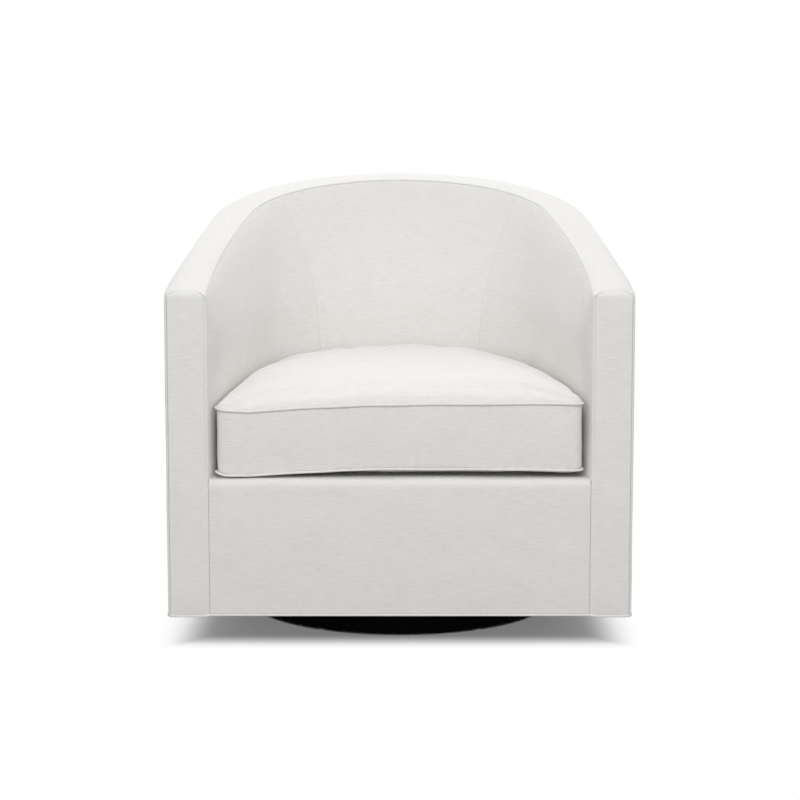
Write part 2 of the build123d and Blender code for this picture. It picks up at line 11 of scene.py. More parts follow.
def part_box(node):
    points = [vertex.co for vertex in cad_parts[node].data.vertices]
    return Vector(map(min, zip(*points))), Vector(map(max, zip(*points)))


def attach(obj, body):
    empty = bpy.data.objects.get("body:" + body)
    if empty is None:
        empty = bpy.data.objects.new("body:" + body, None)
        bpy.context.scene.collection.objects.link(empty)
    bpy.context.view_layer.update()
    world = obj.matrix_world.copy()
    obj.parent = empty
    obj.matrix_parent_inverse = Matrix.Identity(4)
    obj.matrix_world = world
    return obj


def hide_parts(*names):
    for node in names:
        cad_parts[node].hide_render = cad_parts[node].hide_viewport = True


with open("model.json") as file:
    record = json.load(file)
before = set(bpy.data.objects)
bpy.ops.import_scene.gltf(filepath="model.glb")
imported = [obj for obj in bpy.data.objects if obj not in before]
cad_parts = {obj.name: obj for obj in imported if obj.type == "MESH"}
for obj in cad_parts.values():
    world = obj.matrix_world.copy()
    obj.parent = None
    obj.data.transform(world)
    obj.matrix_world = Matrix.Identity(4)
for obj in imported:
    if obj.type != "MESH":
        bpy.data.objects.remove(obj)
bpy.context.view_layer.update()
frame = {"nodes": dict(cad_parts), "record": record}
scene = bpy.context.scene
print("frame loaded, with", len(frame["nodes"]), "parts")

# The swivel barrel chair, in metres and degrees. The covers repeat the outlines of the frame under them.
chair = {
    "half": 0.4,  # half the width at the arm fronts
    "front": -0.4,
    "back": 0.4,
    "roundRadius": 0.346,
    "roundBlend": 8.7,
    "armHeight": 0.6215,
    "slope": 9.4,
    "hem": 0.0685,  # lower edge of the panels
    "seat": 0.303,  # top of the seat deck
    "innerHalf": 0.3285,
    "spreadAt": (0, 0.06, 0.16, 0.30, 0.50, 0.75, 0.95, 1.08, 1.2),  # shares of the outline
    "spread": (0, 0.0040, 0.0056, 0.0038, 0.0020, 0.0024, 0.0022, 0, 0),
}
slope = radians(chair["slope"])
upright = np.array([0, -sin(slope), cos(slope)])  # square to the sloped top


def eased(share):
    return share * share * (3 - 2 * share)


def dOutline(share, half, front, back, radius, blend):
    # a D-shaped plan: share runs 0 to 1 along the left side, to 2 round the back, to 3 down the right side;
    # blend is how far past its widest point the round back goes before a side leaves it
    share = np.asarray(share, float)
    turn = radians(blend)
    start = np.array([radius * cos(turn), back - radius + radius * sin(turn)])
    along = np.array([sin(turn), -cos(turn)])
    chord = np.array([half, front]) - start
    inward = np.array([-along[1], along[0]])
    inward = inward if chord @ inward > 0 else -inward
    bow = chord @ chord / (2 * chord @ inward)
    sweep = 2 * np.arctan2(chord @ inward, chord @ along)
    fromRound = np.clip(np.where(share < 1.5, 1 - share, share - 2), 0, 1) * sweep
    side = start + bow * (np.sin(fromRound)[..., None] * along + (1 - np.cos(fromRound))[..., None] * inward)
    side[..., 0] *= np.where(share < 1.5, -1, 1)
    angle = pi - turn - (np.clip(share, 1, 2) - 1) * (pi - 2 * turn)
    rear = np.stack([radius * np.cos(angle), back - radius + radius * np.sin(angle)], -1)
    return np.where(((share > 1) & (share < 2))[..., None], rear, side)


def outerPlan(share, inset=0.0):
    return dOutline(share, chair["half"] - inset, chair["front"] + inset, chair["back"] - inset,
                    chair["roundRadius"] - inset, chair["roundBlend"])


def fullPlan(share, inset=0.0):
    # the padded sides stand out a little from the frame's outline
    share, nudge = np.asarray(share, float), 0.0005
    at = np.clip(share, nudge, 3 - nudge)
    along = outerPlan(at + nudge) - outerPlan(at - nudge)
    out = np.stack([-along[..., 1], along[..., 0]], -1) / np.linalg.norm(along, axis=-1, keepdims=True)
    spread = np.interp(np.minimum(share, 3 - share), chair["spreadAt"], chair["spread"])
    return outerPlan(share, inset) + out * spread[..., None]


def topHeight(y):
    # the sloped top over the arms and the back
    return chair["armHeight"] + (y - chair["front"]) * tan(slope)


# the space inside the arms, as three D-shaped outlines one above the other
inside = {
    "low": {"back": 0.170, "radius": 0.256, "blend": 15.5, "height": 0.2902},  # at the seat deck
    "waist": {"back": 0.187, "radius": 0.262, "blend": 15.6, "height": 0.445},
    "rim": {"back": 0.7703, "radius": 0.281, "blend": 10.8, "height": 0.012},  # on the sloped top
    "gather": 0.393,  # how far up the inside the waist lies
    "seamFoot": (-0.146, 0.134),  # plan of the seam between inside arm and inside back
    "seamHead": (-0.226, 0.243),
    "seamBow": 0.0075,
    "bowFrom": 0.35,
    "bowLength": 0.5,
}


def insideWall(share, rise):
    # the inside of the arms and the back: rise runs 0 at the seat, through the waist, to 1 above the rim
    def outlineOf(name, front):
        at = inside[name]
        plan = dOutline(share, chair["innerHalf"], front, at["back"], at["radius"], at["blend"])
        return np.concatenate([plan, np.full(plan.shape[:-1] + (1,), at["height"])], -1)

    low, waist = outlineOf("low", chair["front"]), outlineOf("waist", chair["front"])
    x, y, over = np.moveaxis(outlineOf("rim", 0), -1, 0)
    rim = np.stack([x, chair["front"] + y * cos(slope) - over * sin(slope),
                    chair["armHeight"] + y * sin(slope) + over * cos(slope)], -1)
    knot, t = inside["gather"], np.asarray(rise, float)[..., None]
    return (low * (t - knot) * (t - 1) / knot + waist * t * (t - 1) / (knot * (knot - 1))
            + rim * t * (t - knot) / (1 - knot))


def solve(wanted, low, high):
    # where a rising function of a grid of numbers passes zero
    low, high = np.array(low, float), np.array(high, float)
    for _ in range(40):
        middle = (low + high) / 2
        over = wanted(middle) > 0
        high, low = np.where(over, middle, high), np.where(over, low, middle)
    return (low + high) / 2


def riseAt(share, height):
    def above(rise):
        return insideWall(share, rise)[..., 2] - height
    return solve(above, np.zeros(np.shape(share)), np.ones(np.shape(share)))


def riseAtTop(share, drop=0.0):
    def above(rise):
        place = insideWall(share, rise)
        return place[..., 2] + drop - topHeight(place[..., 1])
    return solve(above, np.zeros(np.shape(share)), np.ones(np.shape(share)))


def seamShare(rise):
    # where the seam between inside arm and inside back crosses the wall, on the left
    foot = inside["seamFoot"]
    run = np.array(inside["seamHead"]) - foot
    high = np.clip((np.asarray(rise) - inside["bowFrom"]) / inside["bowLength"], 0, 1)
    bow = inside["seamBow"] * 4 * high * (1 - high) * np.linalg.norm(run)

    def past(share):
        place = insideWall(share, rise)
        return (place[..., 0] - foot[0]) * run[1] - (place[..., 1] - foot[1]) * run[0] - bow
    return solve(past, np.full(np.shape(rise), 0.9), np.full(np.shape(rise), 1.5))


# node trees, for shaders and for geometry
class Value:
    # a socket: sums on it add Math nodes
    def __init__(self, nodes, node, output=0):
        self.nodes, self.node, self.socket = nodes, node, node.outputs[output]

    def out(self, output):
        return Value(self.nodes, self.node, output)

    def __add__(self, other):
        return self.nodes.maths("ADD", self, other)

    __radd__ = __add__

    def __sub__(self, other):
        return self.nodes.maths("SUBTRACT", self, other)

    def __rsub__(self, other):
        return self.nodes.maths("SUBTRACT", other, self)

    def __mul__(self, other):
        return self.nodes.maths("MULTIPLY", self, other)

    __rmul__ = __mul__

    def __pow__(self, other):
        return self.nodes.maths("POWER", self, other)


class Nodes:
    def __init__(self, tree):
        self.tree = tree
        tree.nodes.clear()

    def add(self, kind, settings=None, inputs=None, output=0):
        node = self.tree.nodes.new(kind)
        for key, setting in (settings or {}).items():
            if key == "stops":
                ramp = node.color_ramp
                while len(ramp.elements) < len(setting):
                    ramp.elements.new(1)
                for stop, (place, colour) in zip(ramp.elements, setting):
                    stop.position, stop.color = place, colour
            else:
                setattr(node, key, setting)
        for key, given in (inputs or {}).items():
            if isinstance(given, Value):
                self.tree.links.new(given.socket, node.inputs[key])
            else:
                node.inputs[key].default_value = given
        return Value(self, node, output)

    def end(self, kind, value):
        self.tree.links.new(value.socket, self.tree.nodes.new(kind).inputs[0])

    def maths(self, operation, *values):
        return self.add("ShaderNodeMath", {"operation": operation}, dict(enumerate(values)))

    def clamp(self, value):
        return self.add("ShaderNodeClamp", None, {0: value})

    def between(self, value, low, high, toLow=0.0, toHigh=1.0):
        return self.add("ShaderNodeMapRange", {"interpolation_type": "SMOOTHSTEP"},
                        {0: value, 1: low, 2: high, 3: toLow, 4: toHigh})

    def scaled(self, vector, amount):
        return self.add("ShaderNodeVectorMath", {"operation": "MULTIPLY"}, {0: vector, 1: amount})

    def parts(self, vector):
        split = self.add("ShaderNodeSeparateXYZ", None, {0: vector})
        return split, split.out(1), split.out(2)

    def noise(self, vector, scale, detail=2.0, roughness=0.5):
        return self.add("ShaderNodeTexNoise", None, {"Vector": vector, "Scale": scale, "Detail": detail,
                                                     "Roughness": roughness})

    def tint(self, share, first, second):
        return self.add("ShaderNodeMix", {"data_type": "RGBA"}, {0: share, 6: first, 7: second}, 2)


def material(name):
    made = bpy.data.materials.new(name)
    made.use_nodes = True
    return made, Nodes(made.node_tree)


def surface(nodes, colour, rough, height, depth, strength, fixed=None):
    # the shader of every piece: what varies is colour, roughness and bump, the rest is fixed
    bump = nodes.add("ShaderNodeBump", None, {"Strength": strength, "Distance": depth, "Height": height})
    shader = nodes.add("ShaderNodeBsdfPrincipled", None,
                       {"Base Color": colour, "Roughness": rough, **(fixed or {}), "Normal": bump})
    nodes.end("ShaderNodeOutputMaterial", shader)


# finishes
linen = {
    "light": (0.845, 0.835, 0.812, 1),
    "dark": (0.70, 0.685, 0.655, 1),
    "shadow": (0.25, 0.24, 0.225, 1),  # down in a seam
    "seamShade": 0.22,
    "thread": 0.00115,  # from one thread to the next
    "weave": 0.10,  # how much of the shade each of these makes
    "weftSlub": 0.30,
    "warpSlub": 0.17,
    "streak": 1.1,
    "mottle": 0.34,
    "weaveDepth": 0.00035,
    "weaveStrength": 0.55,
    "rough": 0.9,
    "fixed": {"Sheen Weight": 0.12, "Sheen Roughness": 0.6, "Specular IOR Level": 0.25},
}


def makeLinen():
    # off-white slub linen: it follows each piece's own UV map, which is in metres
    made, nodes = material("linenCloth")
    cloth = nodes.add("ShaderNodeUVMap", {"uv_map": "cloth"})
    wander = nodes.noise(nodes.scaled(cloth, (60, 60, 60)), 1.0, 1.0) * 0.9
    across, up, _ = nodes.parts(nodes.scaled(cloth, (pi / linen["thread"],) * 3))
    over = nodes.maths("SINE", across + wander) * nodes.maths("SINE", up + wander)
    weftSlub = nodes.between(nodes.noise(nodes.scaled(cloth, (38, 720, 1)), 1.0, 2.0), 0.52, 0.72)
    warpSlub = nodes.between(nodes.noise(nodes.scaled(cloth, (760, 30, 1)), 1.0, 2.0), 0.56, 0.76)
    streak = nodes.noise(nodes.scaled(cloth, (50, 400, 1)), 1.0, 3.0, 0.6)
    mottle = nodes.noise(nodes.scaled(cloth, (14, 26, 1)), 1.0, 3.0)
    # painted shade: how close a seam is, read from each panel's attribute
    sewn = nodes.add("ShaderNodeAttribute", {"attribute_name": "sewn"}, output=2)
    shade = (0.83 + linen["weave"] * over - linen["weftSlub"] * weftSlub - linen["warpSlub"] * warpSlub
             + (streak - 0.5) * linen["streak"] + (mottle - 0.5) * linen["mottle"])
    height = 0.5 + 0.32 * over + 0.35 * weftSlub + 0.22 * warpSlub
    colour = nodes.tint(nodes.clamp(shade), linen["dark"], linen["light"])
    rough = linen["rough"] + (mottle - 0.5) * 0.12
    # painted shade: the cloth beside a seam is tinted towards the shadow colour
    surface(nodes, nodes.tint(sewn * linen["seamShade"], colour, linen["shadow"]),
            rough, height, linen["weaveDepth"], linen["weaveStrength"], linen["fixed"])
    return made


linenCloth = makeLinen()


def makeWood(name, light, dark, rings, along):
    # straight-grained timber, or the face of a sheet where the rings are wide
    made, nodes = material(name)
    place = nodes.add("ShaderNodeTexCoord", output=3)

    def grained(lengthways, across, detail, roughness=0.5):
        scale = tuple(lengthways if k == along else across for k in range(3))
        return nodes.noise(nodes.scaled(place, scale), 1.0, detail, roughness)

    wave = grained(3, 16, 3.0)
    grain = grained(9, rings, 4.0, 0.6)
    pores = nodes.between(grained(40, 900, 1.0), 0.55, 0.7)
    shade = nodes.clamp(0.25 + grain * 0.8 + (wave - 0.5) * 0.5 - pores * 0.25)
    surface(nodes, nodes.tint(shade, dark, light), 0.55 + pores * 0.2, grain * 0.6 + pores * 0.4, 0.0004, 0.4)
    return made


def makeMetal(name, colour, rough, brush, speck):
    # plate and wire: brush is the scale of its fine streaks, speck that of its dull patches
    made, nodes = material(name)
    place = nodes.add("ShaderNodeTexCoord", output=3)
    streak = nodes.noise(nodes.scaled(place, brush), 1.0, 3.0)
    patch = nodes.noise(place, speck, 3.0)
    worn = tuple(c * 0.62 for c in colour[:3]) + (1,)
    surface(nodes, nodes.tint(nodes.clamp(patch * 1.2 - 0.1), worn, colour), rough - 0.12 + streak * 0.24,
            streak, 0.00012, 0.35, {"Metallic": 1.0})
    return made


def makeMatt(name, light, dark, scale, rough, depth, stretch=(1, 1, 1)):
    # foam, felt, nonwoven, nylon and fibreboard: a mottle with a fine raised grain
    made, nodes = material(name)
    place = nodes.scaled(nodes.add("ShaderNodeTexCoord", output=3), stretch)
    grain = nodes.noise(place, scale, 3.0, 0.65)
    patch = nodes.noise(place, scale / 9, 2.0)
    surface(nodes, nodes.tint(nodes.clamp(grain * 1.1 + (patch - 0.5) * 0.7 - 0.05), dark, light),
            rough - 0.06 + grain * 0.12, grain, depth, 0.5)
    return made


def makeBlackPaint():
    # satin black on the plinth: brushed-on texture and rubbed lower edge
    made, nodes = material("blackPaint")
    place = nodes.add("ShaderNodeTexCoord", output=3)
    x, y, z = nodes.parts(place)
    stipple = nodes.noise(place, 420, 2.0)
    brushed = nodes.noise(nodes.scaled(place, (14, 14, 160)), 1.0, 2.0)
    rubbed = nodes.between(z + (nodes.noise(place, 60, 3.0) - 0.5) * 0.008, 0.0035, 0.0075, 1.0, 0.0)
    surface(nodes, nodes.tint(rubbed, (0.0012, 0.0012, 0.0013, 1), (0.006, 0.0055, 0.005, 1)),
            0.66 + brushed * 0.16, stipple * 0.6 + brushed * 0.4, 0.0002, 0.35, {"Specular IOR Level": 0.05})
    return made


finishes = {
    "hardwood": makeWood("beechTimber", (0.62, 0.42, 0.24, 1), (0.40, 0.24, 0.12, 1), 140, 2),
    "plywood": makeWood("birchPlywood", (0.66, 0.50, 0.31, 1), (0.50, 0.35, 0.19, 1), 60, 0),
    "steel": makeMetal("blackenedSteel", (0.30, 0.30, 0.31, 1), 0.42, (300, 300, 300), 60),
    "zinc": makeMetal("zincPlate", (0.72, 0.72, 0.70, 1), 0.34, (40, 400, 40), 90),
    "ball_steel": makeMetal("polishedBalls", (0.80, 0.80, 0.82, 1), 0.16, (200, 200, 200), 150),
    "spring_steel": makeMetal("springWire", (0.36, 0.37, 0.40, 1), 0.38, (500, 30, 500), 120),
    "nylon": makeMatt("whiteNylon", (0.62, 0.62, 0.58, 1), (0.48, 0.48, 0.44, 1), 700, 0.45, 0.0001),
    "fibreboard": makeMatt("fibreBoard", (0.42, 0.31, 0.20, 1), (0.26, 0.18, 0.11, 1),
                           520, 0.85, 0.0003, (1, 1, 4)),
    "webbing": makeMatt("elasticWebbing", (0.50, 0.44, 0.34, 1), (0.20, 0.17, 0.13, 1),
                        40, 0.85, 0.0004, (4, 4, 60)),
    "tie_cord": makeMatt("paperWrappedWire", (0.52, 0.44, 0.32, 1), (0.34, 0.27, 0.18, 1),
                         160, 0.85, 0.0003, (8, 1, 1)),
    "cambric": makeMatt("blackNonwoven", (0.030, 0.030, 0.031, 1), (0.012, 0.012, 0.012, 1), 900, 0.95, 0.0003),
    "zip_metal": makeMetal("zipNickel", (0.70, 0.69, 0.66, 1), 0.28, (900, 900, 100), 200),
    "black_paint": makeBlackPaint(),
}

print("finishes made:", len(finishes) + 1)


# upholstery panels
def spaced(length, edge, step):
    # shares along a panel, close together over its rolled edges
    near = edge * np.array([0, 0.06, 0.2, 0.4, 0.65, 0.95, 1.35, 2.0]) / length
    count = max(int(length * (1 - 2 * near[-1]) / step), 3)
    middle = np.linspace(near[-1], 1 - near[-1], count)
    return np.concatenate([near[:-1], middle, 1 - near[-2::-1]])


def quarterRound(distance, radius):
    # how far a rolled edge lies below its panel
    near = np.clip(radius - distance, 0, radius)
    return radius - np.sqrt(np.maximum(radius ** 2 - near ** 2, 0))


def softNoise(points, scale, seed):
    shift = Vector((seed * 3.1, seed * 1.7, seed * 0.9))
    found = [noise.noise(Vector(point) * scale + shift) for point in points.reshape(-1, 3)]
    return np.array(found).reshape(points.shape[:-1])


def gridNormals(grid):
    along = np.gradient(grid, axis=1)
    up = np.gradient(grid, axis=0)
    normal = np.cross(along, up)
    return normal / np.maximum(np.linalg.norm(normal, axis=-1, keepdims=True), 1e-12)


def reach(grid, axis):
    # distance along a grid line from its start
    step = np.linalg.norm(np.diff(grid, axis=axis), axis=-1)
    start = np.zeros_like(np.take(step, [0], axis=axis))
    return np.concatenate([start, np.cumsum(step, axis=axis)], axis=axis)


def clothMap(mesh, cloth):
    # the linen follows this UV map in metres: cloth has a place for each vertex, or for each face corner
    corners = np.empty(len(mesh.loops), int)
    mesh.loops.foreach_get("vertex_index", corners)
    cloth = cloth[corners] if len(cloth) == len(mesh.vertices) else cloth
    mesh.uv_layers.new(name="cloth").data.foreach_set("uv", cloth.astype(np.float32).ravel())


def place(name, data, body=None, slotName="linen", replaces=()):
    # an object for a mesh, a lamp or the camera; with a body, it is a finished piece that rides on it
    made = bpy.data.objects.new(name, data)
    scene.collection.objects.link(made)
    if body:
        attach(made, body)
    if replaces:
        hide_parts(*replaces)
    return made


# painted shade darkens the cloth beside a seam where its rolled edge is wide enough, and the folds wrinkle the
# panels
seamShadeAndFolds = {"reach": 0.0011, "least": 0.0019, "folds": ((9, 0, 1.6), (31, 5, 0.55))}


def panel(name, grid, rolls, puff, depth, seed, body="chair_body", replaces=(), fill=0.8, spread=0.03,
          wrinkle=0.0007, swell=0.0, slotName="linen"):
    # a closed padded panel: grid is its outer face, rows upwards and columns to the right as seen from outside;
    # rolls are the radii of its left, right, lower and upper edges; puff and swell stand it out
    left = reach(grid, 1)
    right = left[:, -1:] - left
    low = reach(grid, 0)
    high = low[-1:, :] - low
    normal = gridNormals(grid)
    sunk = np.zeros(grid.shape[:2])
    plump = np.ones(grid.shape[:2])
    sewn = np.zeros(grid.shape[:2])
    for distance, radius in zip((left, right, low, high), rolls):
        # painted shade beside each seam whose rolled edge is wide enough
        if radius > seamShadeAndFolds["least"]:
            sewn = np.maximum(sewn, np.exp(-distance / seamShadeAndFolds["reach"]))
        if radius > 0:
            sunk = np.maximum(sunk, quarterRound(distance, radius))
            plump *= 1 - np.exp(-distance / spread)
    folds = sum(softNoise(grid, many, seed + more) * wrinkle * share for many, more, share in seamShadeAndFolds["folds"])
    inner = grid - normal * (depth + sunk[..., None])
    outer = grid + normal * (puff * plump + swell + folds * np.clip(plump * 2, 0, 1) - sunk)[..., None]
    rows, columns = grid.shape[:2]
    index = np.arange(rows * columns).reshape(rows, columns)
    offset = rows * columns
    quads = np.stack([index[:-1, :-1], index[:-1, 1:], index[1:, 1:], index[1:, :-1]], -1).reshape(-1, 4)
    faces = [quads, quads[:, ::-1] + offset]
    rim = np.concatenate([index[0, :], index[1:, -1], index[-1, -2::-1], index[-2:0:-1, 0]])
    ring = np.roll(rim, -1)
    faces.append(np.stack([rim + offset, ring + offset, ring, rim], -1))
    faces = np.concatenate(faces)
    mesh = bpy.data.meshes.new(name)
    points = np.concatenate([outer.reshape(-1, 3), inner.reshape(-1, 3)])
    mesh.from_pydata(points.tolist(), [], faces.tolist())
    clothMap(mesh, np.tile(np.stack([left, low], -1).reshape(-1, 2), (2, 1)))
    # painted shade beside the seams, on the outer face only
    mesh.attributes.new("sewn", "FLOAT", "POINT").data.foreach_set(
        "value", np.concatenate([sewn.ravel(), np.zeros(offset)]).astype(np.float32))
    mesh.shade_smooth()
    mesh.materials.append(linenCloth)
    made = place(name, mesh, body, slotName, replaces)
    return made


def pair(name, grid, rolls, puff, depth, seed, parts, swell=0.0, **more):
    # a panel on the left and the same one on the right; rolls are those of the left one
    left, right, low, high = rolls
    swell = swell + np.zeros(grid.shape[:2])
    panel(name + "Left", grid, rolls, puff, depth, seed, swell=swell,
          replaces=[part + "_left" for part in parts], **more)
    panel(name + "Right", (grid * [-1, 1, 1])[:, ::-1], (right, left, low, high), puff, depth, seed + 1,
          swell=swell[:, ::-1], replaces=[part + "_right" for part in parts], **more)


def rounded(path, corner, radius, steps=7):
    # the polyline path with one sharp corner rounded
    before, at, after = (np.array(path[k], float) for k in (corner - 1, corner, corner + 1))
    intoCorner = (before - at) / np.linalg.norm(before - at)
    outOfCorner = (after - at) / np.linalg.norm(after - at)
    turn = np.linspace(0, pi / 2, steps)[:, None]
    arc = at + radius * ((1 - np.sin(turn)) * intoCorner + (1 - np.cos(turn)) * outOfCorner)
    return np.concatenate([path[:corner], arc, path[corner + 1:]])


def walk(path, shares):
    # points at shares of a polyline's length
    path = np.asarray(path, float)
    run = np.concatenate([[0], np.cumsum(np.linalg.norm(np.diff(path, axis=0), axis=1))])
    wanted = np.asarray(shares) * run[-1]
    return np.stack([np.interp(wanted, run, values) for values in path.T], -1)


def gridOf(*axes):
    # points from their x, y and z, which may be rows, columns or single values
    return np.stack(np.broadcast_arrays(*axes), -1)


def atLevel(plan, level):
    # points of a plan lifted to one level, or each to its own
    return np.concatenate([plan, np.broadcast_to(np.reshape(level, (-1, 1)), (len(plan), 1))], -1)


# the covers of the chair body
covers = {
    "seam": 0.0026,  # radius of a rolled edge in a plain seam
    "endSeam": 0.0020,  # where the band's ends meet the arm fronts
    "backSeam": 0.0018,  # between inside arm and inside back
    "cornerSeam": (0.0018, 0.0009),  # the arm front at its outer and inner side
    "thick": 0.0055,
    "insideThick": 0.006,
    "wrapOut": 0.0040,  # the outside cloth comes round the arm front this far
    "wrapIn": 0.0044,  # and the inside cloth this far
    "corner": 0.0030,
    "crownFront": 0.0080,  # how far the top band stands up over the arm fronts
    "crownBack": 0.0008,
    "crownFrom": 0.05,  # the crown starts to rise here, and is full this much further forward
    "crownLength": 0.35,
    "crownPower": 3.2,
    "bandLength": (2.32, 0.071),
    "armLength": 0.41,  # of the outline, for one share
    "frontRoll": 0.0085,  # the arm front turns back under the band
    "leastRoll": 0.0012,
    "overlap": 0.0006,  # of the band's ends over the arm fronts
    "bandInset": 0.0016,  # the outside cloth laps the band's edge
    "tuck": 0.0035,  # the panels end this far below the hem
    "roll": 0.0130,  # how far the padding swells over the seat, between the cushion and the top seam
    "rollReach": 0.045,
    "rollFrom": 0.462,
    "rollHeight": 0.105,
    "frontReach": 0.022,
}


def crownAt(y, across):
    # height of the band over the sloped plane; across is 0 and 1 at its edges
    ends = np.clip((covers["crownFrom"] - y) / covers["crownLength"], 0, 1)
    peak = covers["crownBack"] + (covers["crownFront"] - covers["crownBack"]) * eased(ends)
    return peak * (1 - np.abs(2 * across - 1) ** covers["crownPower"])


def frontRoll(across):
    # how far the arm front turns back at its top, less at its corners
    return covers["leastRoll"] + covers["frontRoll"] * (1 - np.abs(2 * across - 1) ** 4)


# the band that runs round the arms and the back
bandAcross = spaced(covers["bandLength"][1], covers["seam"], 0.006)
along, across = np.meshgrid(spaced(covers["bandLength"][0], 0.0012, 0.0115), bandAcross)
begin = (frontRoll(across) - covers["overlap"]) / covers["armLength"]
share = begin + (3 - 2 * begin) * along
innerEdge = insideWall(share, riseAtTop(share))
outerEdge = fullPlan(share, covers["bandInset"])
outerEdge = np.concatenate([outerEdge, topHeight(outerEdge[..., 1:2])], -1)
bandGrid = innerEdge * (1 - across[..., None]) + outerEdge * across[..., None]
bandGrid = bandGrid + upright * crownAt(bandGrid[..., 1], across)[..., None]
bandEdges = (covers["endSeam"], covers["endSeam"], covers["seam"], covers["seam"])
panel("topBand", bandGrid, bandEdges, 0.0, covers["thick"], 1,
      replaces=("top_band", "top_pad"), fill=0.8, wrinkle=0.0004)


def armFrontGrid():
    # domed at its top, where it turns back under the band, and a little wider below the seat
    # rows 0 to 1 go up to where it turns, and 1 to 2 round the turn
    foot = chair["hem"] - covers["tuck"]
    columns = spaced(chair["half"] - chair["innerHalf"], covers["seam"], 0.005)
    straight = spaced(chair["armHeight"] - foot, covers["seam"], 0.008)[:-7]
    last = straight[-1]
    near = last + (1 - last) * np.array([0.3, 0.6, 1.0])
    levels = np.concatenate([straight[:-1], near, 1 + np.linspace(0, 1, 9)[1:]])
    u, v = np.meshgrid(columns, levels)
    across = 1 - u
    roll = frontRoll(across)
    turn = np.clip(v - 1, 0, 1) * pi / 2
    top = crownAt(np.full_like(u, chair["front"]), across) + topHeight(chair["front"] + roll)
    z = foot + (top - roll - foot) * np.clip(v, 0, 1) + roll * np.sin(turn)
    y = chair["front"] + roll * (1 - np.cos(turn))
    outer = -chair["half"] + covers["wrapOut"]
    inner = -chair["innerHalf"] - covers["wrapIn"] * np.clip((z - chair["seat"] + 0.005) / 0.02, 0, 1)
    return gridOf(outer + (inner - outer) * u, y, z)


frontEdges = covers["cornerSeam"] + (covers["seam"], covers["endSeam"])
pair("armFront", armFrontGrid(), frontEdges, 0.0016, covers["thick"], 2, ("arm_front_cover",),
     spread=0.012, fill=0.7, wrinkle=0.0005)
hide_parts("arm_front_pads")

# the front rail: its padded edge rolls back under the cushion
rail = {"roll": 0.0085, "back": -0.3555, "lift": -0.0010, "end": 0.0022, "rise": 0.0012, "backSeam": 0.0018}
railTop = chair["seat"] + rail["rise"]
railFoot = (chair["front"], chair["hem"] + rail["lift"])
railProfile = np.array([railFoot, (chair["front"], railTop), (rail["back"], railTop)])
railUp = walk(rounded(railProfile, 1, rail["roll"], 14), spaced(0.272, 0.003, 0.007))
railAlong = chair["innerHalf"] * (2 * spaced(2 * chair["innerHalf"], rail["end"], 0.008) - 1)
railGrid = gridOf(railAlong, railUp[:, :1], railUp[:, 1:])
railEdges = (rail["end"], rail["end"], covers["seam"], rail["backSeam"])
panel("frontRailPanel", railGrid, railEdges, 0.0012, covers["thick"], 4,
      replaces=("front_rail_cover", "front_rail_pad"), fill=0.8, wrinkle=0.0007)

# the inside arms and the inside back, from the deck to the band
heights = spaced(0.40, covers["seam"], 0.0085)


def insideGrid(shareLeft, shareRight, columns):
    # shareLeft and shareRight give the panel's edges for each row
    grid = []
    for v in heights:
        rise = np.full(columns.shape, 0.5)
        for _ in range(3):
            start = shareLeft(rise[:1])[0]
            share = start + (shareRight(rise[-1:])[0] - start) * columns
            low = riseAt(share, chair["seat"] - 0.001)
            high = riseAtTop(share, 0.0012)
            rise = low + (high - low) * v
        grid.append(insideWall(share, rise))
    return np.array(grid)


def withWrap(grid):
    # the cloth comes round the front corner of the arm, on its left edge
    radius, front = covers["corner"], chair["front"]
    body = grid[:, grid[0, :, 1] > front + radius]
    x, z = grid[:, :1, 0], grid[:, :1, 2]
    turns = np.linspace(0, pi / 2, 7)[None]
    flat = x - np.linspace(covers["wrapIn"], radius, 6)[None, :-1]
    bend = gridOf(x - radius + radius * np.sin(turns), front + radius - radius * np.cos(turns), z)
    return np.concatenate([gridOf(flat, front, z), bend, body], 1)


def rollOver(grid, frontEdge):
    # the padding swells between the cushion and the top seam, less near the arm front
    down = reach(grid, 0)
    down = down[-1:] - down
    height = np.clip((grid[..., 2] - covers["rollFrom"]) / covers["rollHeight"], 0, 1)
    roll = covers["roll"] * (1 - np.exp(-down / covers["rollReach"])) * eased(height)
    if frontEdge:
        fromFront = np.clip(grid[..., 1] - chair["front"] - covers["corner"], 0, None)
        roll = roll * (1 - np.exp(-fromFront / covers["frontReach"]))
    return roll


armColumns = spaced(0.62, covers["seam"], 0.0085)
armGrid = withWrap(insideGrid(lambda rise: np.zeros(len(rise)), seamShare, armColumns))
armEdges = (covers["cornerSeam"][1], covers["backSeam"], 0, covers["seam"])
pair("insideArm", armGrid, armEdges, 0.0022, covers["insideThick"], 6, ("inside_cover", "inside_foam"),
     rollOver(armGrid, True), fill=0.8, wrinkle=0.0011)
backColumns = spaced(0.40, covers["seam"], 0.0085)
backGrid = insideGrid(seamShare, lambda rise: 3 - seamShare(rise), backColumns)
backEdges = (covers["backSeam"], covers["backSeam"], 0, covers["seam"])
panel("insideBack", backGrid, backEdges, 0.0032, covers["insideThick"], 8, fill=0.85, wrinkle=0.0011,
      replaces=("inside_cover_back", "inside_foam_back"), swell=rollOver(backGrid, False))

# the outside arms and the outside back
outside = {"seamShare": 1.075, "tuck": 0.0030, "edges": (covers["seam"],) * 4, "puff": 0.0010, "thick": 0.0022}


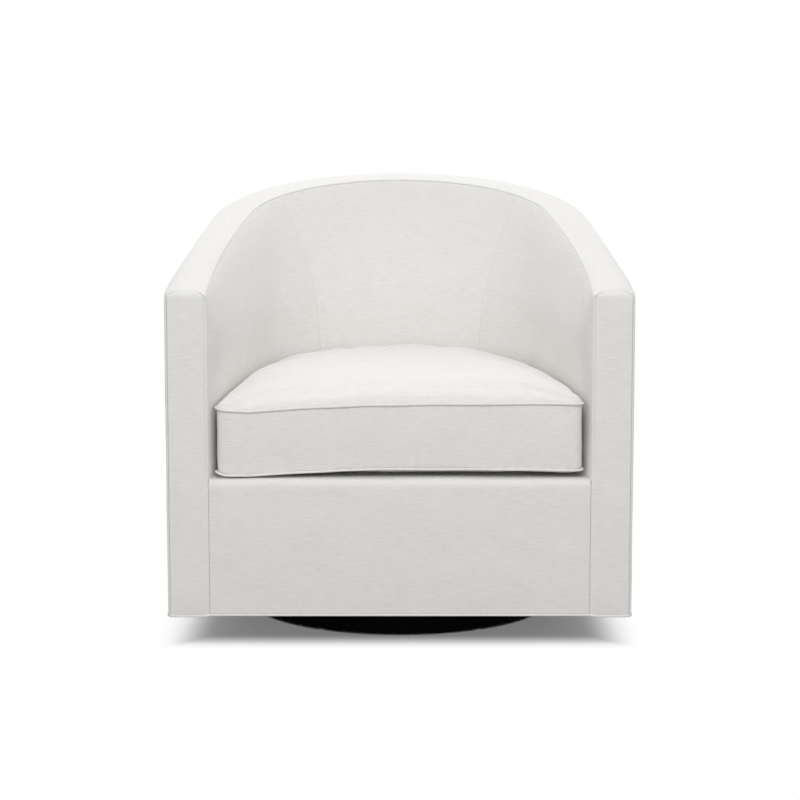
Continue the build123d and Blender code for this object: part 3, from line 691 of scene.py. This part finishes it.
def outsideGrid(fromShare, toShare, wrap):
    # rows go up and columns to the right as seen from outside, so share falls
    path = fullPlan(np.linspace(fromShare, toShare, 160))
    if wrap:
        path = np.concatenate([path, [[-chair["half"] + covers["wrapOut"], chair["front"]]]])
        corner = len(path) - 2
        path = rounded(path[:corner - 1].tolist() + path[corner:].tolist(), corner - 1, covers["corner"])
    length = np.linalg.norm(np.diff(path, axis=0), axis=1).sum()
    columns = walk(path, spaced(length, 0.0035, 0.009))
    bottom = chair["hem"] - covers["tuck"]
    top = topHeight(columns[:, 1]) - outside["tuck"]
    z = bottom + (top - bottom) * spaced(0.6, covers["seam"], 0.010)[:, None]
    return gridOf(columns[:, 0], columns[:, 1], z)


sideGrid = outsideGrid(outside["seamShare"], 0.0, True)
pair("outsideArm", sideGrid, outside["edges"], outside["puff"], outside["thick"], 9, ("outside_cover",),
     fill=1.0, wrinkle=0.0008)
rearGrid = outsideGrid(3 - outside["seamShare"], outside["seamShare"], False)
panel("outsideBack", rearGrid, outside["edges"], outside["puff"], outside["thick"], 11,
      replaces=("outside_cover_back",), fill=1.0, wrinkle=0.0008)
print("covers of the chair body made")


# piping and rows of small things, as geometry nodes on a path
def pathObject(name, points, closed):
    mesh = bpy.data.meshes.new(name)
    count = len(points)
    edges = [(k, (k + 1) % count) for k in range(count if closed else count - 1)]
    mesh.from_pydata(np.asarray(points).tolist(), edges, [])
    return place(name, mesh)


def geometryTree(name, inputs):
    tree = bpy.data.node_groups.new(name, "GeometryNodeTree")
    nodes = Nodes(tree)
    tree.interface.new_socket("Geometry", in_out="INPUT", socket_type="NodeSocketGeometry")
    tree.interface.new_socket("Geometry", in_out="OUTPUT", socket_type="NodeSocketGeometry")
    for label, kind, start in inputs:
        made = tree.interface.new_socket(label, in_out="INPUT", socket_type=kind)
        if start is not None:
            made.default_value = start
    source = nodes.add("NodeGroupInput")
    return tree, nodes, source


def closeTree(nodes, geometry, finish):
    real = nodes.add("GeometryNodeRealizeInstances", None, {0: geometry})
    dressed = nodes.add("GeometryNodeSetMaterial", None, {"Geometry": real, "Material": finish})
    nodes.end("NodeGroupOutput", dressed)


def pipingTree():
    # a cord under bias-cut cloth, a little uneven where it was eased round the corners
    tree, nodes, source = geometryTree("piping", [
        ("Radius", "NodeSocketFloat", 0.002), ("Step", "NodeSocketFloat", 0.004),
        ("Unevenness", "NodeSocketFloat", 0.0002), ("Seed", "NodeSocketFloat", 0.0),
        ("Finish", "NodeSocketMaterial", None)])
    curve = nodes.add("GeometryNodeMeshToCurve", None, {0: source.out("Geometry")})
    curve = nodes.add("GeometryNodeResampleCurve", {"mode": "LENGTH"},
                      {"Curve": curve, "Length": source.out("Step")})
    ring = nodes.add("GeometryNodeCurvePrimitiveCircle", {"mode": "RADIUS"},
                     {"Resolution": 12, "Radius": source.out("Radius")})

    def measured(line, name):
        length = nodes.add("GeometryNodeSplineParameter", None, None, "Length")
        return nodes.add("GeometryNodeStoreNamedAttribute", {"data_type": "FLOAT", "domain": "POINT"},
                         {"Geometry": line, "Name": name, "Value": length})

    tube = nodes.add("GeometryNodeCurveToMesh", None,
                     {"Curve": measured(curve, "alongPath"), "Profile Curve": measured(ring, "roundPath")})
    shift = nodes.add("ShaderNodeCombineXYZ", None, {0: source.out("Seed")})
    shifted = nodes.add("ShaderNodeVectorMath", {"operation": "ADD"},
                        {0: nodes.add("GeometryNodeInputPosition"), 1: shift})
    ripple = (nodes.noise(shifted, 70.0, 2.0) - 0.5) * source.out("Unevenness") * 2.0
    push = nodes.add("ShaderNodeVectorMath", {"operation": "SCALE"},
                     {0: nodes.add("GeometryNodeInputNormal"), "Scale": ripple})
    tube = nodes.add("GeometryNodeSetPosition", None, {"Geometry": tube, "Offset": push})
    closeTree(nodes, tube, source.out("Finish"))
    return tree


def rowTree():
    # small things one after another along a path: zip teeth or staples
    tree, nodes, source = geometryTree("row", [
        ("Spacing", "NodeSocketFloat", 0.004), ("Size", "NodeSocketVector", None),
        ("Square", "NodeSocketBool", False), ("Seed", "NodeSocketInt", 1),
        ("Finish", "NodeSocketMaterial", None)])
    curve = nodes.add("GeometryNodeMeshToCurve", None, {0: source.out("Geometry")})
    points = nodes.add("GeometryNodeResampleCurve", {"mode": "LENGTH"},
                       {"Curve": curve, "Length": source.out("Spacing")})
    bead = nodes.add("GeometryNodeMeshIcoSphere", None, {"Radius": 0.5, "Subdivisions": 2})
    bar = nodes.add("GeometryNodeMeshCube", None, {"Size": (1, 1, 1)})
    shape = nodes.add("GeometryNodeSwitch", {"input_type": "GEOMETRY"},
                      {0: source.out("Square"), 1: bead, 2: bar})
    turn = nodes.add("FunctionNodeAlignRotationToVector", {"axis": "X"},
                     {"Vector": nodes.add("GeometryNodeInputTangent")})
    jitter = nodes.add("FunctionNodeRandomValue", {"data_type": "FLOAT"},
                       {2: 0.9, 3: 1.08, "Seed": source.out("Seed")}, 1)
    size = nodes.add("ShaderNodeVectorMath", {"operation": "SCALE"}, {0: source.out("Size"), "Scale": jitter})
    row = nodes.add("GeometryNodeInstanceOnPoints", None,
                    {"Points": points, "Instance": shape, "Rotation": turn, "Scale": size})
    closeTree(nodes, row, source.out("Finish"))
    return tree


def grow(path, name, tree, inputs):
    # runs a tree on a path and leaves a plain mesh in its place
    modifier = path.modifiers.new("grow", "NODES")
    modifier.node_group = tree
    for item in tree.interface.items_tree:
        if item.in_out == "INPUT" and item.name in inputs:
            modifier[item.identifier] = inputs[item.name]
    bpy.context.view_layer.update()
    graph = bpy.context.evaluated_depsgraph_get()
    mesh = bpy.data.meshes.new_from_object(path.evaluated_get(graph), depsgraph=graph)
    mesh.name = name
    path.modifiers.remove(modifier)
    bpy.data.objects.remove(path)
    return mesh


pipingNodes = pipingTree()
rowNodes = rowTree()


def pipe(name, points, radius, seed, body, replaces=()):
    mesh = grow(pathObject(name + "Path", points, True), name, pipingNodes,
                {"Radius": radius, "Step": 0.0045, "Unevenness": 0.0002, "Seed": seed, "Finish": linenCloth})
    along, round_ = np.zeros((2, len(mesh.vertices)), np.float32)
    for extra, values in (("alongPath", along), ("roundPath", round_)):
        mesh.attributes[extra].data.foreach_get("value", values)
        mesh.attributes.remove(mesh.attributes[extra])
    bias = cos(pi / 4)  # the cloth is cut on the bias
    clothMap(mesh, np.stack([(along - round_) * bias, (along + round_) * bias], -1))
    mesh.shade_smooth()
    return place(name, mesh, body, replaces=replaces)


def rowOf(name, points, spacing, size, seed, body, finish, slotName, square=False):
    mesh = grow(pathObject(name + "Path", points, False), name, rowNodes,
                {"Spacing": spacing, "Size": size, "Square": square, "Seed": seed, "Finish": finish})
    mesh.shade_flat() if square else mesh.shade_smooth()
    return place(name, mesh, body, slotName)


# the welt along the hem, which steps up a little under the front rail
hem = {"radius": 0.0019, "armLevel": 0.0645, "railLevel": 0.0664, "proud": 0.0003, "stepWidth": 0.016}


def hemPath():
    inset = hem["radius"] * 0.35 - hem["proud"]
    body = fullPlan(np.linspace(0, 3, 420)[2:-2], inset)
    y = chair["front"] + inset
    half = chair["half"] - inset - 0.004
    loop = np.concatenate([body, gridOf(np.linspace(half, -half, 220), y)])
    step = np.clip((chair["innerHalf"] + 0.012 - np.abs(loop[:, 0])) / hem["stepWidth"], 0, 1)
    step = eased(step * (loop[:, 1] < chair["front"] + 0.01))
    return atLevel(loop, hem["armLevel"] + (hem["railLevel"] - hem["armLevel"]) * step)


pipe("hemWelt", hemPath(), hem["radius"], 2.0, "chair_body", ("hem_welt",))
print("hem welt made")

# the loose seat cushion
cushion = {
    "half": 0.3175,
    "front": -0.390,
    "drawIn": 0.004,  # the front draws back between its corners
    "corner": 0.014,
    "lowBack": 0.153,
    "highBack": 0.170,
    "lowRadius": 0.239,
    "highRadius": 0.245,
    "blend": 15.5,
    "lowSeam": 0.315,
    "highSeam": 0.433,
    "belly": 0.06,
    "crown": 0.0255,
    "crownReach": 0.17,
    "crownEdge": 2.1,  # higher is steeper at the seam
    "aside": -0.0007,
    "fullAt": (-0.385, -0.27, -0.06, 0.08),  # front to back, the sides fill the space to the arms
    "full": (0, 0.0062, 0.0062, 0),
    "deck": 0.3036,
    "creases": ((11, 40, 0.0008), (34, 41, 0.0002)),  # how many to the metre, seed and depth
    "quiet": 0.008,  # no creases this close to a seam
    "welt": 0.0021,
    "weltProud": 0.0012,
    "weltSway": (0.0006, 0.0006, 0.0009),
}
# the front of the cushion has settled: left to right, how far its two seams lie off the level
settled = {
    "at": (-0.3175, -0.300, -0.260, -0.170, -0.050, 0.100, 0.3175),
    "high": (-0.0060, -0.0105, -0.0128, -0.0062, -0.0010, 0.0004, 0.0016),
    "low": (0.0010, -0.0044, -0.0050, 0.0006, 0.0058, 0.0058, 0.0042),
    "from": -0.08,
    "length": 0.30,
}
# the cloth starts smaller, and swells to its size
filling = {
    "small": 0.003,
    "voxel": 0.0065,
    "pressure": 4.0,
    "frames": 20,
    "most": 0.0085,
    "seamHold": 0.0048,  # what is this close to a seam or the zip stays where it is
    "zipHold": 0.016,
    "zipHalf": 0.20,
    "zipFrom": -0.01,
}
puckers = {"pace": 1.1, "sway": 2.2, "reach": 0.016, "depth": 0.0005}
fold = {"at": (0.3035, -0.333), "size": (0.0065, 0.030), "sunk": 0.0052, "beside": 2.1, "raised": 0.0016}
# the zip in the rear boxing
zipper = {
    "turn": 50.0,
    "height": 0.374,
    "width": 0.026,
    "tooth": 0.0019,
    "toothSize": (0.0011, 0.0010, 0.0024),
    "toothAside": 0.0011,
    "sunk": 0.0006,
    "hollow": 0.0004,
    "edge": 0.0008,
    "thick": 0.0022,
}


def boxingShare(level):
    # 0 at the lower seam, 1 at the upper one
    return (level - cushion["lowSeam"]) / (cushion["highSeam"] - cushion["lowSeam"])


def rearAt(share):
    # how far back the cushion reaches there, and its radius
    back = cushion["lowBack"] + share * (cushion["highBack"] - cushion["lowBack"])
    return back, cushion["lowRadius"] + share * (cushion["highRadius"] - cushion["lowRadius"])


def settle(points):
    # moves points of the level cushion to where use has left them
    share = np.clip(boxingShare(points[:, 2]), 0, 1)
    near = eased(np.clip((settled["from"] - points[:, 1]) / settled["length"], 0, 1))
    low, high = (np.interp(points[:, 0], settled["at"], settled[seam]) for seam in ("low", "high"))
    moved = points.copy()
    moved[:, 2] += (low * (1 - share) + high * share) * near
    return moved


def cushionRing(level, inset, count=300):
    back, radius = rearAt(min(max(boxingShare(level), 0), 1))
    half, front, corner = cushion["half"] - inset, cushion["front"] + inset, cushion["corner"]
    sides = dOutline(np.linspace(0, 3, 240), half, front, back - inset, radius - inset, cushion["blend"])
    x = np.linspace(half, -half, 60)[1:-1]
    edge = np.stack([x, front + cushion["drawIn"] * (1 - (x / half) ** 2)], -1)
    loop = np.concatenate([sides[sides[:, 1] > front + corner], [[half, front + corner], [half, front]],
                           edge[np.abs(edge[:, 0]) < half - corner], [[-half, front], [-half, front + corner]]])
    for side in (half, -half):
        at = int(np.argmin(np.abs(loop[:, 0] - side) + np.abs(loop[:, 1] - front)))
        loop = np.array(rounded(loop.tolist(), at, corner, 8))
    loop = np.concatenate([loop, loop[:1]])
    full = np.interp(loop[:, 1], cushion["fullAt"], cushion["full"])
    loop[:, 0] += np.sign(loop[:, 0]) * full + cushion["aside"]
    return walk(loop, np.linspace(0, 1, count + 1)[:-1])


def facedOut(mesh):
    # turns its faces outwards; gives back the area of those that look down
    work = bmesh.new()
    work.from_mesh(mesh)
    bmesh.ops.recalc_face_normals(work, faces=work.faces)
    area = sum(face.calc_area() for face in work.faces if face.normal.z < -0.5)
    work.to_mesh(mesh)
    work.free()
    return area


def cushionForm():
    # the closed form that the cloth starts from, as rings from its underside up to its top
    low, high, small, rings = cushion["lowSeam"], cushion["highSeam"], filling["small"], []
    for turn in map(radians, np.linspace(90, 0, 6)):
        rings.append((low - (low - cushion["deck"]) * sin(turn), small + cushion["belly"] * (1 - cos(turn))))
    for share in np.linspace(0, 1, 9)[1:]:
        rings.append((low + (high - low) * share, small))
    for turn in map(radians, np.linspace(0, 90, 13)[1:]):
        inset = small + cushion["crownReach"] * (1 - cos(turn)) ** cushion["crownEdge"]
        rings.append((high + cushion["crown"] * sin(turn), inset))
    grid = [atLevel(cushionRing(level, inset), level) for level, inset in rings]
    count = len(grid[0])
    index = np.arange(len(grid) * count).reshape(-1, count)
    ahead = np.roll(index, -1, 1)
    faces = np.stack([index[:-1], ahead[:-1], ahead[1:], index[1:]], -1).reshape(-1, 4).tolist()
    faces += [index[0, ::-1].tolist(), index[-1].tolist()]
    mesh = bpy.data.meshes.new("cushionStart")
    mesh.from_pydata(settle(np.concatenate(grid)).tolist(), [], faces)
    facedOut(mesh)
    return place("seatCushion", mesh)


def applied(made):
    # leaves the object with the mesh that its modifiers give
    bpy.context.view_layer.update()
    graph = bpy.context.evaluated_depsgraph_get()
    mesh = bpy.data.meshes.new_from_object(made.evaluated_get(graph), depsgraph=graph)
    made.modifiers.clear()
    made.data = mesh


def vectors(items, what):
    # one vector of each vertex or face
    flat = np.empty(len(items) * 3, np.float32)
    items.foreach_get(what, flat)
    return flat.reshape(-1, 3).astype(float)


def seamLine(level, inset, rise=0.0):
    return settle(atLevel(cushionRing(level, inset, 520), level + rise))


def nearest(points, others):
    # distance from each point to the closest of others, and which it is
    tree = KDTree(len(others))
    for k, other in enumerate(others):
        tree.insert(other, k)
    tree.balance()
    found = [tree.find(point)[1:] for point in points]
    return np.array([gap for _, gap in found]), np.array([at for at, _ in found])


def fillCushion(made, seams):
    # air pressure from inside, with the seams and the zip held where they are
    remesh = made.modifiers.new("remesh", "REMESH")
    remesh.mode, remesh.voxel_size, remesh.use_smooth_shade = "VOXEL", filling["voxel"], True
    applied(made)
    start = vectors(made.data.vertices, "co")
    byZip = np.abs(start[:, 2] - zipper["height"]) < filling["zipHold"]
    byZip &= (start[:, 1] > filling["zipFrom"]) & (np.abs(start[:, 0]) < filling["zipHalf"])
    held = byZip | (nearest(start, seams)[0] < filling["seamHold"])
    group = made.vertex_groups.new(name="held")
    group.add(np.nonzero(held)[0].tolist(), 1.0, "REPLACE")
    cloth = made.modifiers.new("cloth", "CLOTH")
    cloth.settings.use_pressure = True
    cloth.settings.uniform_pressure_force = filling["pressure"]
    cloth.settings.vertex_group_mass = "held"
    cloth.settings.effector_weights.gravity = 0
    cloth.point_cache.frame_start, cloth.point_cache.frame_end = 1, filling["frames"]
    for step in range(1, filling["frames"] + 1):
        scene.frame_set(step)
    applied(made)
    scene.frame_set(1)
    moved = vectors(made.data.vertices, "co") - start
    far = np.linalg.norm(moved, axis=1, keepdims=True)
    moved *= filling["most"] * np.tanh(far / filling["most"]) / np.maximum(far, 1e-9)
    end = start + moved
    end[:, 2] = np.maximum(end[:, 2], cushion["deck"])
    made.data.vertices.foreach_set("co", end.astype(np.float32).ravel())
    made.vertex_groups.clear()
    smooth = made.modifiers.new("subdivide", "SUBSURF")
    smooth.levels = smooth.render_levels = 1
    applied(made)


def worked(points, normals, seams):
    # creases all over, puckers along the seams, and a fold where the cloth is caught at the right front corner
    gap, at = nearest(points, seams)
    creases = sum(softNoise(points, many, seed) * depth for many, seed, depth in cushion["creases"])
    drawn = np.sin(at * puckers["pace"] + puckers["sway"] * softNoise(points, 20, 42))
    drawn *= np.exp(-gap / puckers["reach"]) * puckers["depth"]
    points = points + normals * (creases * np.clip(gap / cushion["quiet"], 0, 1) + drawn)[:, None]
    across, along = ((points[:, :2] - fold["at"]) / fold["size"]).T
    onTop = points[:, 2] > cushion["highSeam"]
    caught = np.exp(-across ** 2 - along ** 2) * onTop
    beside = np.exp(-(across + fold["beside"]) ** 2 - along ** 2) * onTop
    points += normals * (fold["raised"] * beside - fold["sunk"] * caught)[:, None]
    points[:, 2] = np.maximum(points[:, 2], cushion["deck"])
    return points


def cushionCloth(mesh, points):
    # the top and the underside lie flat on the cloth, the boxing runs round
    totals, corners = np.empty(len(mesh.polygons), int), np.empty(len(mesh.loops), int)
    mesh.polygons.foreach_get("loop_total", totals)
    mesh.loops.foreach_get("vertex_index", corners)
    boxing = np.repeat(np.abs(vectors(mesh.polygons, "normal")[:, 2]) < 0.6, totals)
    ring = atLevel(cushionRing(zipper["height"], 0), zipper["height"])
    flat = atLevel(points[:, :2], zipper["height"])
    at = nearest(flat, ring)[1]
    run = np.roll(ring, -1, 0) - ring
    length = np.linalg.norm(run, axis=1, keepdims=True)
    along = at * length.sum() / len(ring) + ((flat - ring[at]) * (run / length)[at]).sum(1)
    round_ = np.stack([along, points[:, 2]], -1)
    clothMap(mesh, np.where(boxing[:, None], round_[corners], points[corners, :2] + 0.37))


def makeCushion():
    seams = np.concatenate([seamLine(cushion[seam], filling["small"]) for seam in ("highSeam", "lowSeam")])
    made = cushionForm()
    fillCushion(made, seams)
    mesh = made.data
    print("cushion swollen:", len(mesh.vertices), "points")
    mesh.name = "seatCushion"
    mesh.update()
    points = worked(vectors(mesh.vertices, "co"), vectors(mesh.vertex_normals, "vector"), seams)
    mesh.vertices.foreach_set("co", points.astype(np.float32).ravel())
    mesh.update()
    cushionCloth(mesh, points)
    mesh.materials.clear()
    mesh.materials.append(linenCloth)
    mesh.shade_smooth()
    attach(made, "seat_cushion")
    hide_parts("cushion_core", "cushion_cover")


makeCushion()
for which, rise, seed in (("high", 0.0004, 5.0), ("low", -0.0002, 6.0)):
    line = seamLine(cushion[which + "Seam"], filling["small"] - cushion["weltProud"], rise)
    line += softNoise(line, 14, 50 + seed)[:, None] * cushion["weltSway"]
    pipe("cushionWelt" + which.capitalize(), line, cushion["welt"], seed, "seat_cushion")
print("cushion made")


def zipPoint(angle, level, proud):
    back, radius = rearAt(boxingShare(level))
    return gridOf((radius + proud) * np.sin(angle), back - radius + (radius + proud) * np.cos(angle), level)


turns = radians(zipper["turn"]) * (1 - 2 * spaced(0.42, 0.002, 0.006))
levels = zipper["height"] + zipper["width"] * (spaced(zipper["width"], 0.0012, 0.002) - 0.5)
angle, level = np.meshgrid(turns, levels)
hollow = zipper["hollow"] * np.exp(-np.abs(level - zipper["height"]) / 0.002)
tapeGrid = zipPoint(angle, level, -zipper["sunk"] - hollow)
panel("zipTape", tapeGrid, (zipper["edge"],) * 4, 0.0, zipper["thick"], 20, "seat_cushion", ("zip_tape",),
      fill=None, wrinkle=0.0002, slotName="zip_tape")
for row, side, seed in (("Upper", 1, 3), ("Lower", -1, 4)):
    teeth = np.linspace(-1, 1, 500) * radians(zipper["turn"] - 1.5)
    line = zipPoint(teeth, zipper["height"] + side * zipper["toothAside"], -zipper["hollow"])
    rowOf("zipTeeth" + row, line, zipper["tooth"], zipper["toothSize"], seed, "seat_cushion",
          finishes["nylon"], "zip_tape")
print("zip made")

# the deck under the cushion
deck = {
    "size": (0.65, 0.53),
    "edge": 0.002,
    "step": 0.012,
    "lap": 0.0005,
    "back": 0.1695,
    "sunk": 0.0008,
    "thick": 0.011,
}
deckColumns, deckRows = (spaced(size, deck["edge"], deck["step"]) for size in deck["size"])
deckY = rail["back"] + deck["lap"] + (deck["back"] - rail["back"]) * deckRows
wallShares = np.linspace(0, 1.5, 600)
wall = insideWall(wallShares, riseAt(wallShares, chair["seat"]))
deckHalf = np.interp(deckY, wall[:, 1], -wall[:, 0])
deckGrid = gridOf(deckHalf[:, None] * (2 * deckColumns - 1), deckY[:, None], chair["seat"] - deck["sunk"])
panel("seatDeck", deckGrid, (0, 0, deck["edge"], 0), 0.0006, deck["thick"], 21,
      replaces=("deck_pad", "deck_cloth"), fill=0.6, wrinkle=0.0004, slotName="deck_cloth")

# the black dust cover under the frame, with its staples
dust = {
    "level": 0.0677,
    "thick": 0.0007,
    "hole": 0.225,
    "inset": 0.007,
    "frontHalf": 0.39,
    "flat": (0.786, 0.786),
    "sag": 0.0011,
    "waves": 30,
    "stapleSpacing": 0.038,
    "stapleSize": (0.0100, 0.0012, 0.0006),
    "stapleInset": 0.016,
}


def dustRings():
    # rings from the hole out to the edge, as seen from the middle of the chair
    count, half = 360, dust["frontHalf"]
    front = gridOf(np.linspace(half, -half, 60), chair["front"] + dust["inset"])
    loop = np.concatenate([outerPlan(np.linspace(0, 3, 300), dust["inset"]), front])
    angles = np.linspace(0, 2 * pi, count + 1)[:-1]
    loopAngles = np.unwrap(np.arctan2(loop[:, 0], loop[:, 1]))
    order = np.argsort(loopAngles)
    wrapped = np.concatenate([loopAngles[order] + turn for turn in (-2 * pi, 0, 2 * pi)])
    edge = np.interp(angles - pi, wrapped, np.tile(np.linalg.norm(loop, axis=1)[order], 3))
    direction = np.stack([np.sin(angles - pi), np.cos(angles - pi)], -1)
    rings = []
    for share in np.linspace(0, 1, 14):
        ring = direction * (dust["hole"] + (edge - dust["hole"]) * share)[:, None]
        sag = dust["sag"] * sin(pi * share) * (0.5 + 0.5 * np.sin(angles * dust["waves"]))
        rings.append(atLevel(ring, dust["level"] - sag))
    return np.array(rings)


def dustCover():
    under = dustRings()
    over = under + [0, 0, dust["thick"]]
    size = under.shape[0] * under.shape[1]
    index = np.arange(size).reshape(under.shape[:2])
    ahead = np.roll(index, -1, 1)
    quads = np.stack([index[:-1], ahead[:-1], ahead[1:], index[1:]], -1).reshape(-1, 4)
    inner = np.stack([index[0], index[0] + size, ahead[0] + size, ahead[0]], -1)
    outer = np.stack([index[-1], ahead[-1], ahead[-1] + size, index[-1] + size], -1)
    mesh = bpy.data.meshes.new("dustCover")
    mesh.from_pydata(np.concatenate([under.reshape(-1, 3), over.reshape(-1, 3)]).tolist(), [],
                     np.concatenate([quads, quads[:, ::-1] + size, inner, outer]).tolist())
    area = facedOut(mesh)
    mesh.shade_smooth()
    mesh.materials.append(finishes["cambric"])
    made = place("dustCover", mesh, "chair_body", "cambric", ("dust_cover",))
    staples = atLevel(outerPlan(np.linspace(0, 3, 300), dust["stapleInset"]), dust["level"] - 0.0001)
    rowOf("dustStaples", staples, dust["stapleSpacing"], dust["stapleSize"], 7, "chair_body",
          finishes["zinc"], "zinc", True)


dustCover()
print("deck and dust cover made")


# camera and studio
view = {
    "focal": 2955.95,  # in pixels, for a picture this wide
    "width": 800,
    "aside": 0.3,
    "sensor": 36,
    "at": (0, -5.3674, 1.3200),
    "tilt": 80,
}
studio = {
    "ambient": 0.64,
    "bounce": 0.42,
    "lamps": {  # power, size, its place and what it looks at
        "frontLamp": (50.0, 0.9, (0, -3.2, 2.9), (0, -0.4, 0.1)),
        "fillLamp": (9.0, 2.0, (0, -5.0, 1.0), (0, 0, 0.4)),
        "rearLamp": (42.0, 1.4, (0, 2.4, 2.4), (0, 0.2, 0.7)),
    },
    "shadowRound": 0.385,  # the camera sees a painted white glow beyond the chair's outline, and the real shadow within it
    "shadowFront": -0.335,
    "shadowEdge": (-0.059, 0.051),
    # a painted glow that lifts the shadow on the floor, except under the plinth
    "shadowLift": 0.15,
    "underEdge": 0.003,
    "floorHalf": 15,
}


def addCamera():
    lens = bpy.data.cameras.new("camera")
    lens.sensor_width = view["sensor"]
    lens.lens = view["sensor"] * view["focal"] / view["width"]
    lens.shift_x = view["aside"] / view["width"]
    lens.clip_end = 60
    camera = place("camera", lens)
    camera.location = view["at"]
    camera.rotation_euler = (radians(view["tilt"]), 0, 0)
    scene.camera = camera


def addLamp(name, power, size, spot, target):
    light = bpy.data.lights.new(name, "AREA")
    light.shape, light.size, light.energy = "SQUARE", size, power
    lamp = place(name, light)
    lamp.location = spot
    lamp.rotation_euler = (Vector(target) - Vector(spot)).to_track_quat("-Z", "Y").to_euler()


def raysSeen(nodes):
    # 1 for what the camera sees, also in a shiny or clear thing, and 0 for light on its way
    rays = nodes.add("ShaderNodeLightPath")
    return nodes.clamp(rays.out("Is Camera Ray") + rays.out("Is Glossy Ray") + rays.out("Is Transmission Ray"))


def addWorld():
    world = bpy.data.worlds.new("studio")
    world.use_nodes = True
    scene.world = world
    nodes = Nodes(world.node_tree)
    strength = studio["ambient"] + raysSeen(nodes) * (1 - studio["ambient"])
    background = nodes.add("ShaderNodeBackground", None, {"Color": (1, 1, 1, 1), "Strength": strength})
    nodes.end("ShaderNodeOutputWorld", background)


def addFloor():
    made, nodes = material("paleFloor")
    # painted light: for camera rays the floor glows white beyond a D-shaped outline set back from the chair's
    # front, and a painted glow lifts the shadow within it; under the plinth that glow is left out, so the floor
    # there is darker
    x, y, _ = nodes.parts(nodes.add("ShaderNodeTexCoord", output=3))
    behind = nodes.maths("MAXIMUM", y, 0.0)
    beyond = (x * x + behind * behind) ** 0.5 - studio["shadowRound"]
    away = nodes.maths("MAXIMUM", beyond, studio["shadowFront"] - y)
    far = nodes.between(away, *studio["shadowEdge"])
    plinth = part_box("base_ring")[1].x
    lift = studio["shadowLift"] * nodes.between((x * x + y * y) ** 0.5, plinth - studio["underEdge"], plinth)
    seen = raysSeen(nodes)
    bounce = studio["bounce"]
    colour = nodes.tint(seen, (bounce, bounce, bounce, 1), (1, 1, 1, 1))
    matt = nodes.add("ShaderNodeBsdfDiffuse", None, {"Color": colour})
    glow = nodes.add("ShaderNodeEmission", None, {"Color": (1, 1, 1, 1), "Strength": 1.0})
    mixed = nodes.add("ShaderNodeMixShader", None, {0: seen * (far * (1 - lift) + lift), 1: matt, 2: glow})
    nodes.end("ShaderNodeOutputMaterial", mixed)
    half = studio["floorHalf"]
    mesh = bpy.data.meshes.new("floor")
    ends = [(-half, -half, 0), (half, -half, 0), (half, half, 0), (-half, half, 0)]
    mesh.from_pydata(ends, [], [(0, 1, 2, 3)])
    mesh.materials.append(made)
    place("floor", mesh)


addCamera()
addWorld()
for name, (power, size, spot, target) in studio["lamps"].items():
    addLamp(name, power, size, spot, target)
addFloor()
scene.view_settings.view_transform = "Standard"

# finishes on the parts that are shown as they are
partSlots = {part["node"]: part["material_slot"] for part in frame["record"]["subparts"]}
for name, part in frame["nodes"].items():
    if part.hide_render:
        continue
    part.data.materials.clear()
    part.data.materials.append(finishes[partSlots[name]])
print("parts finished")
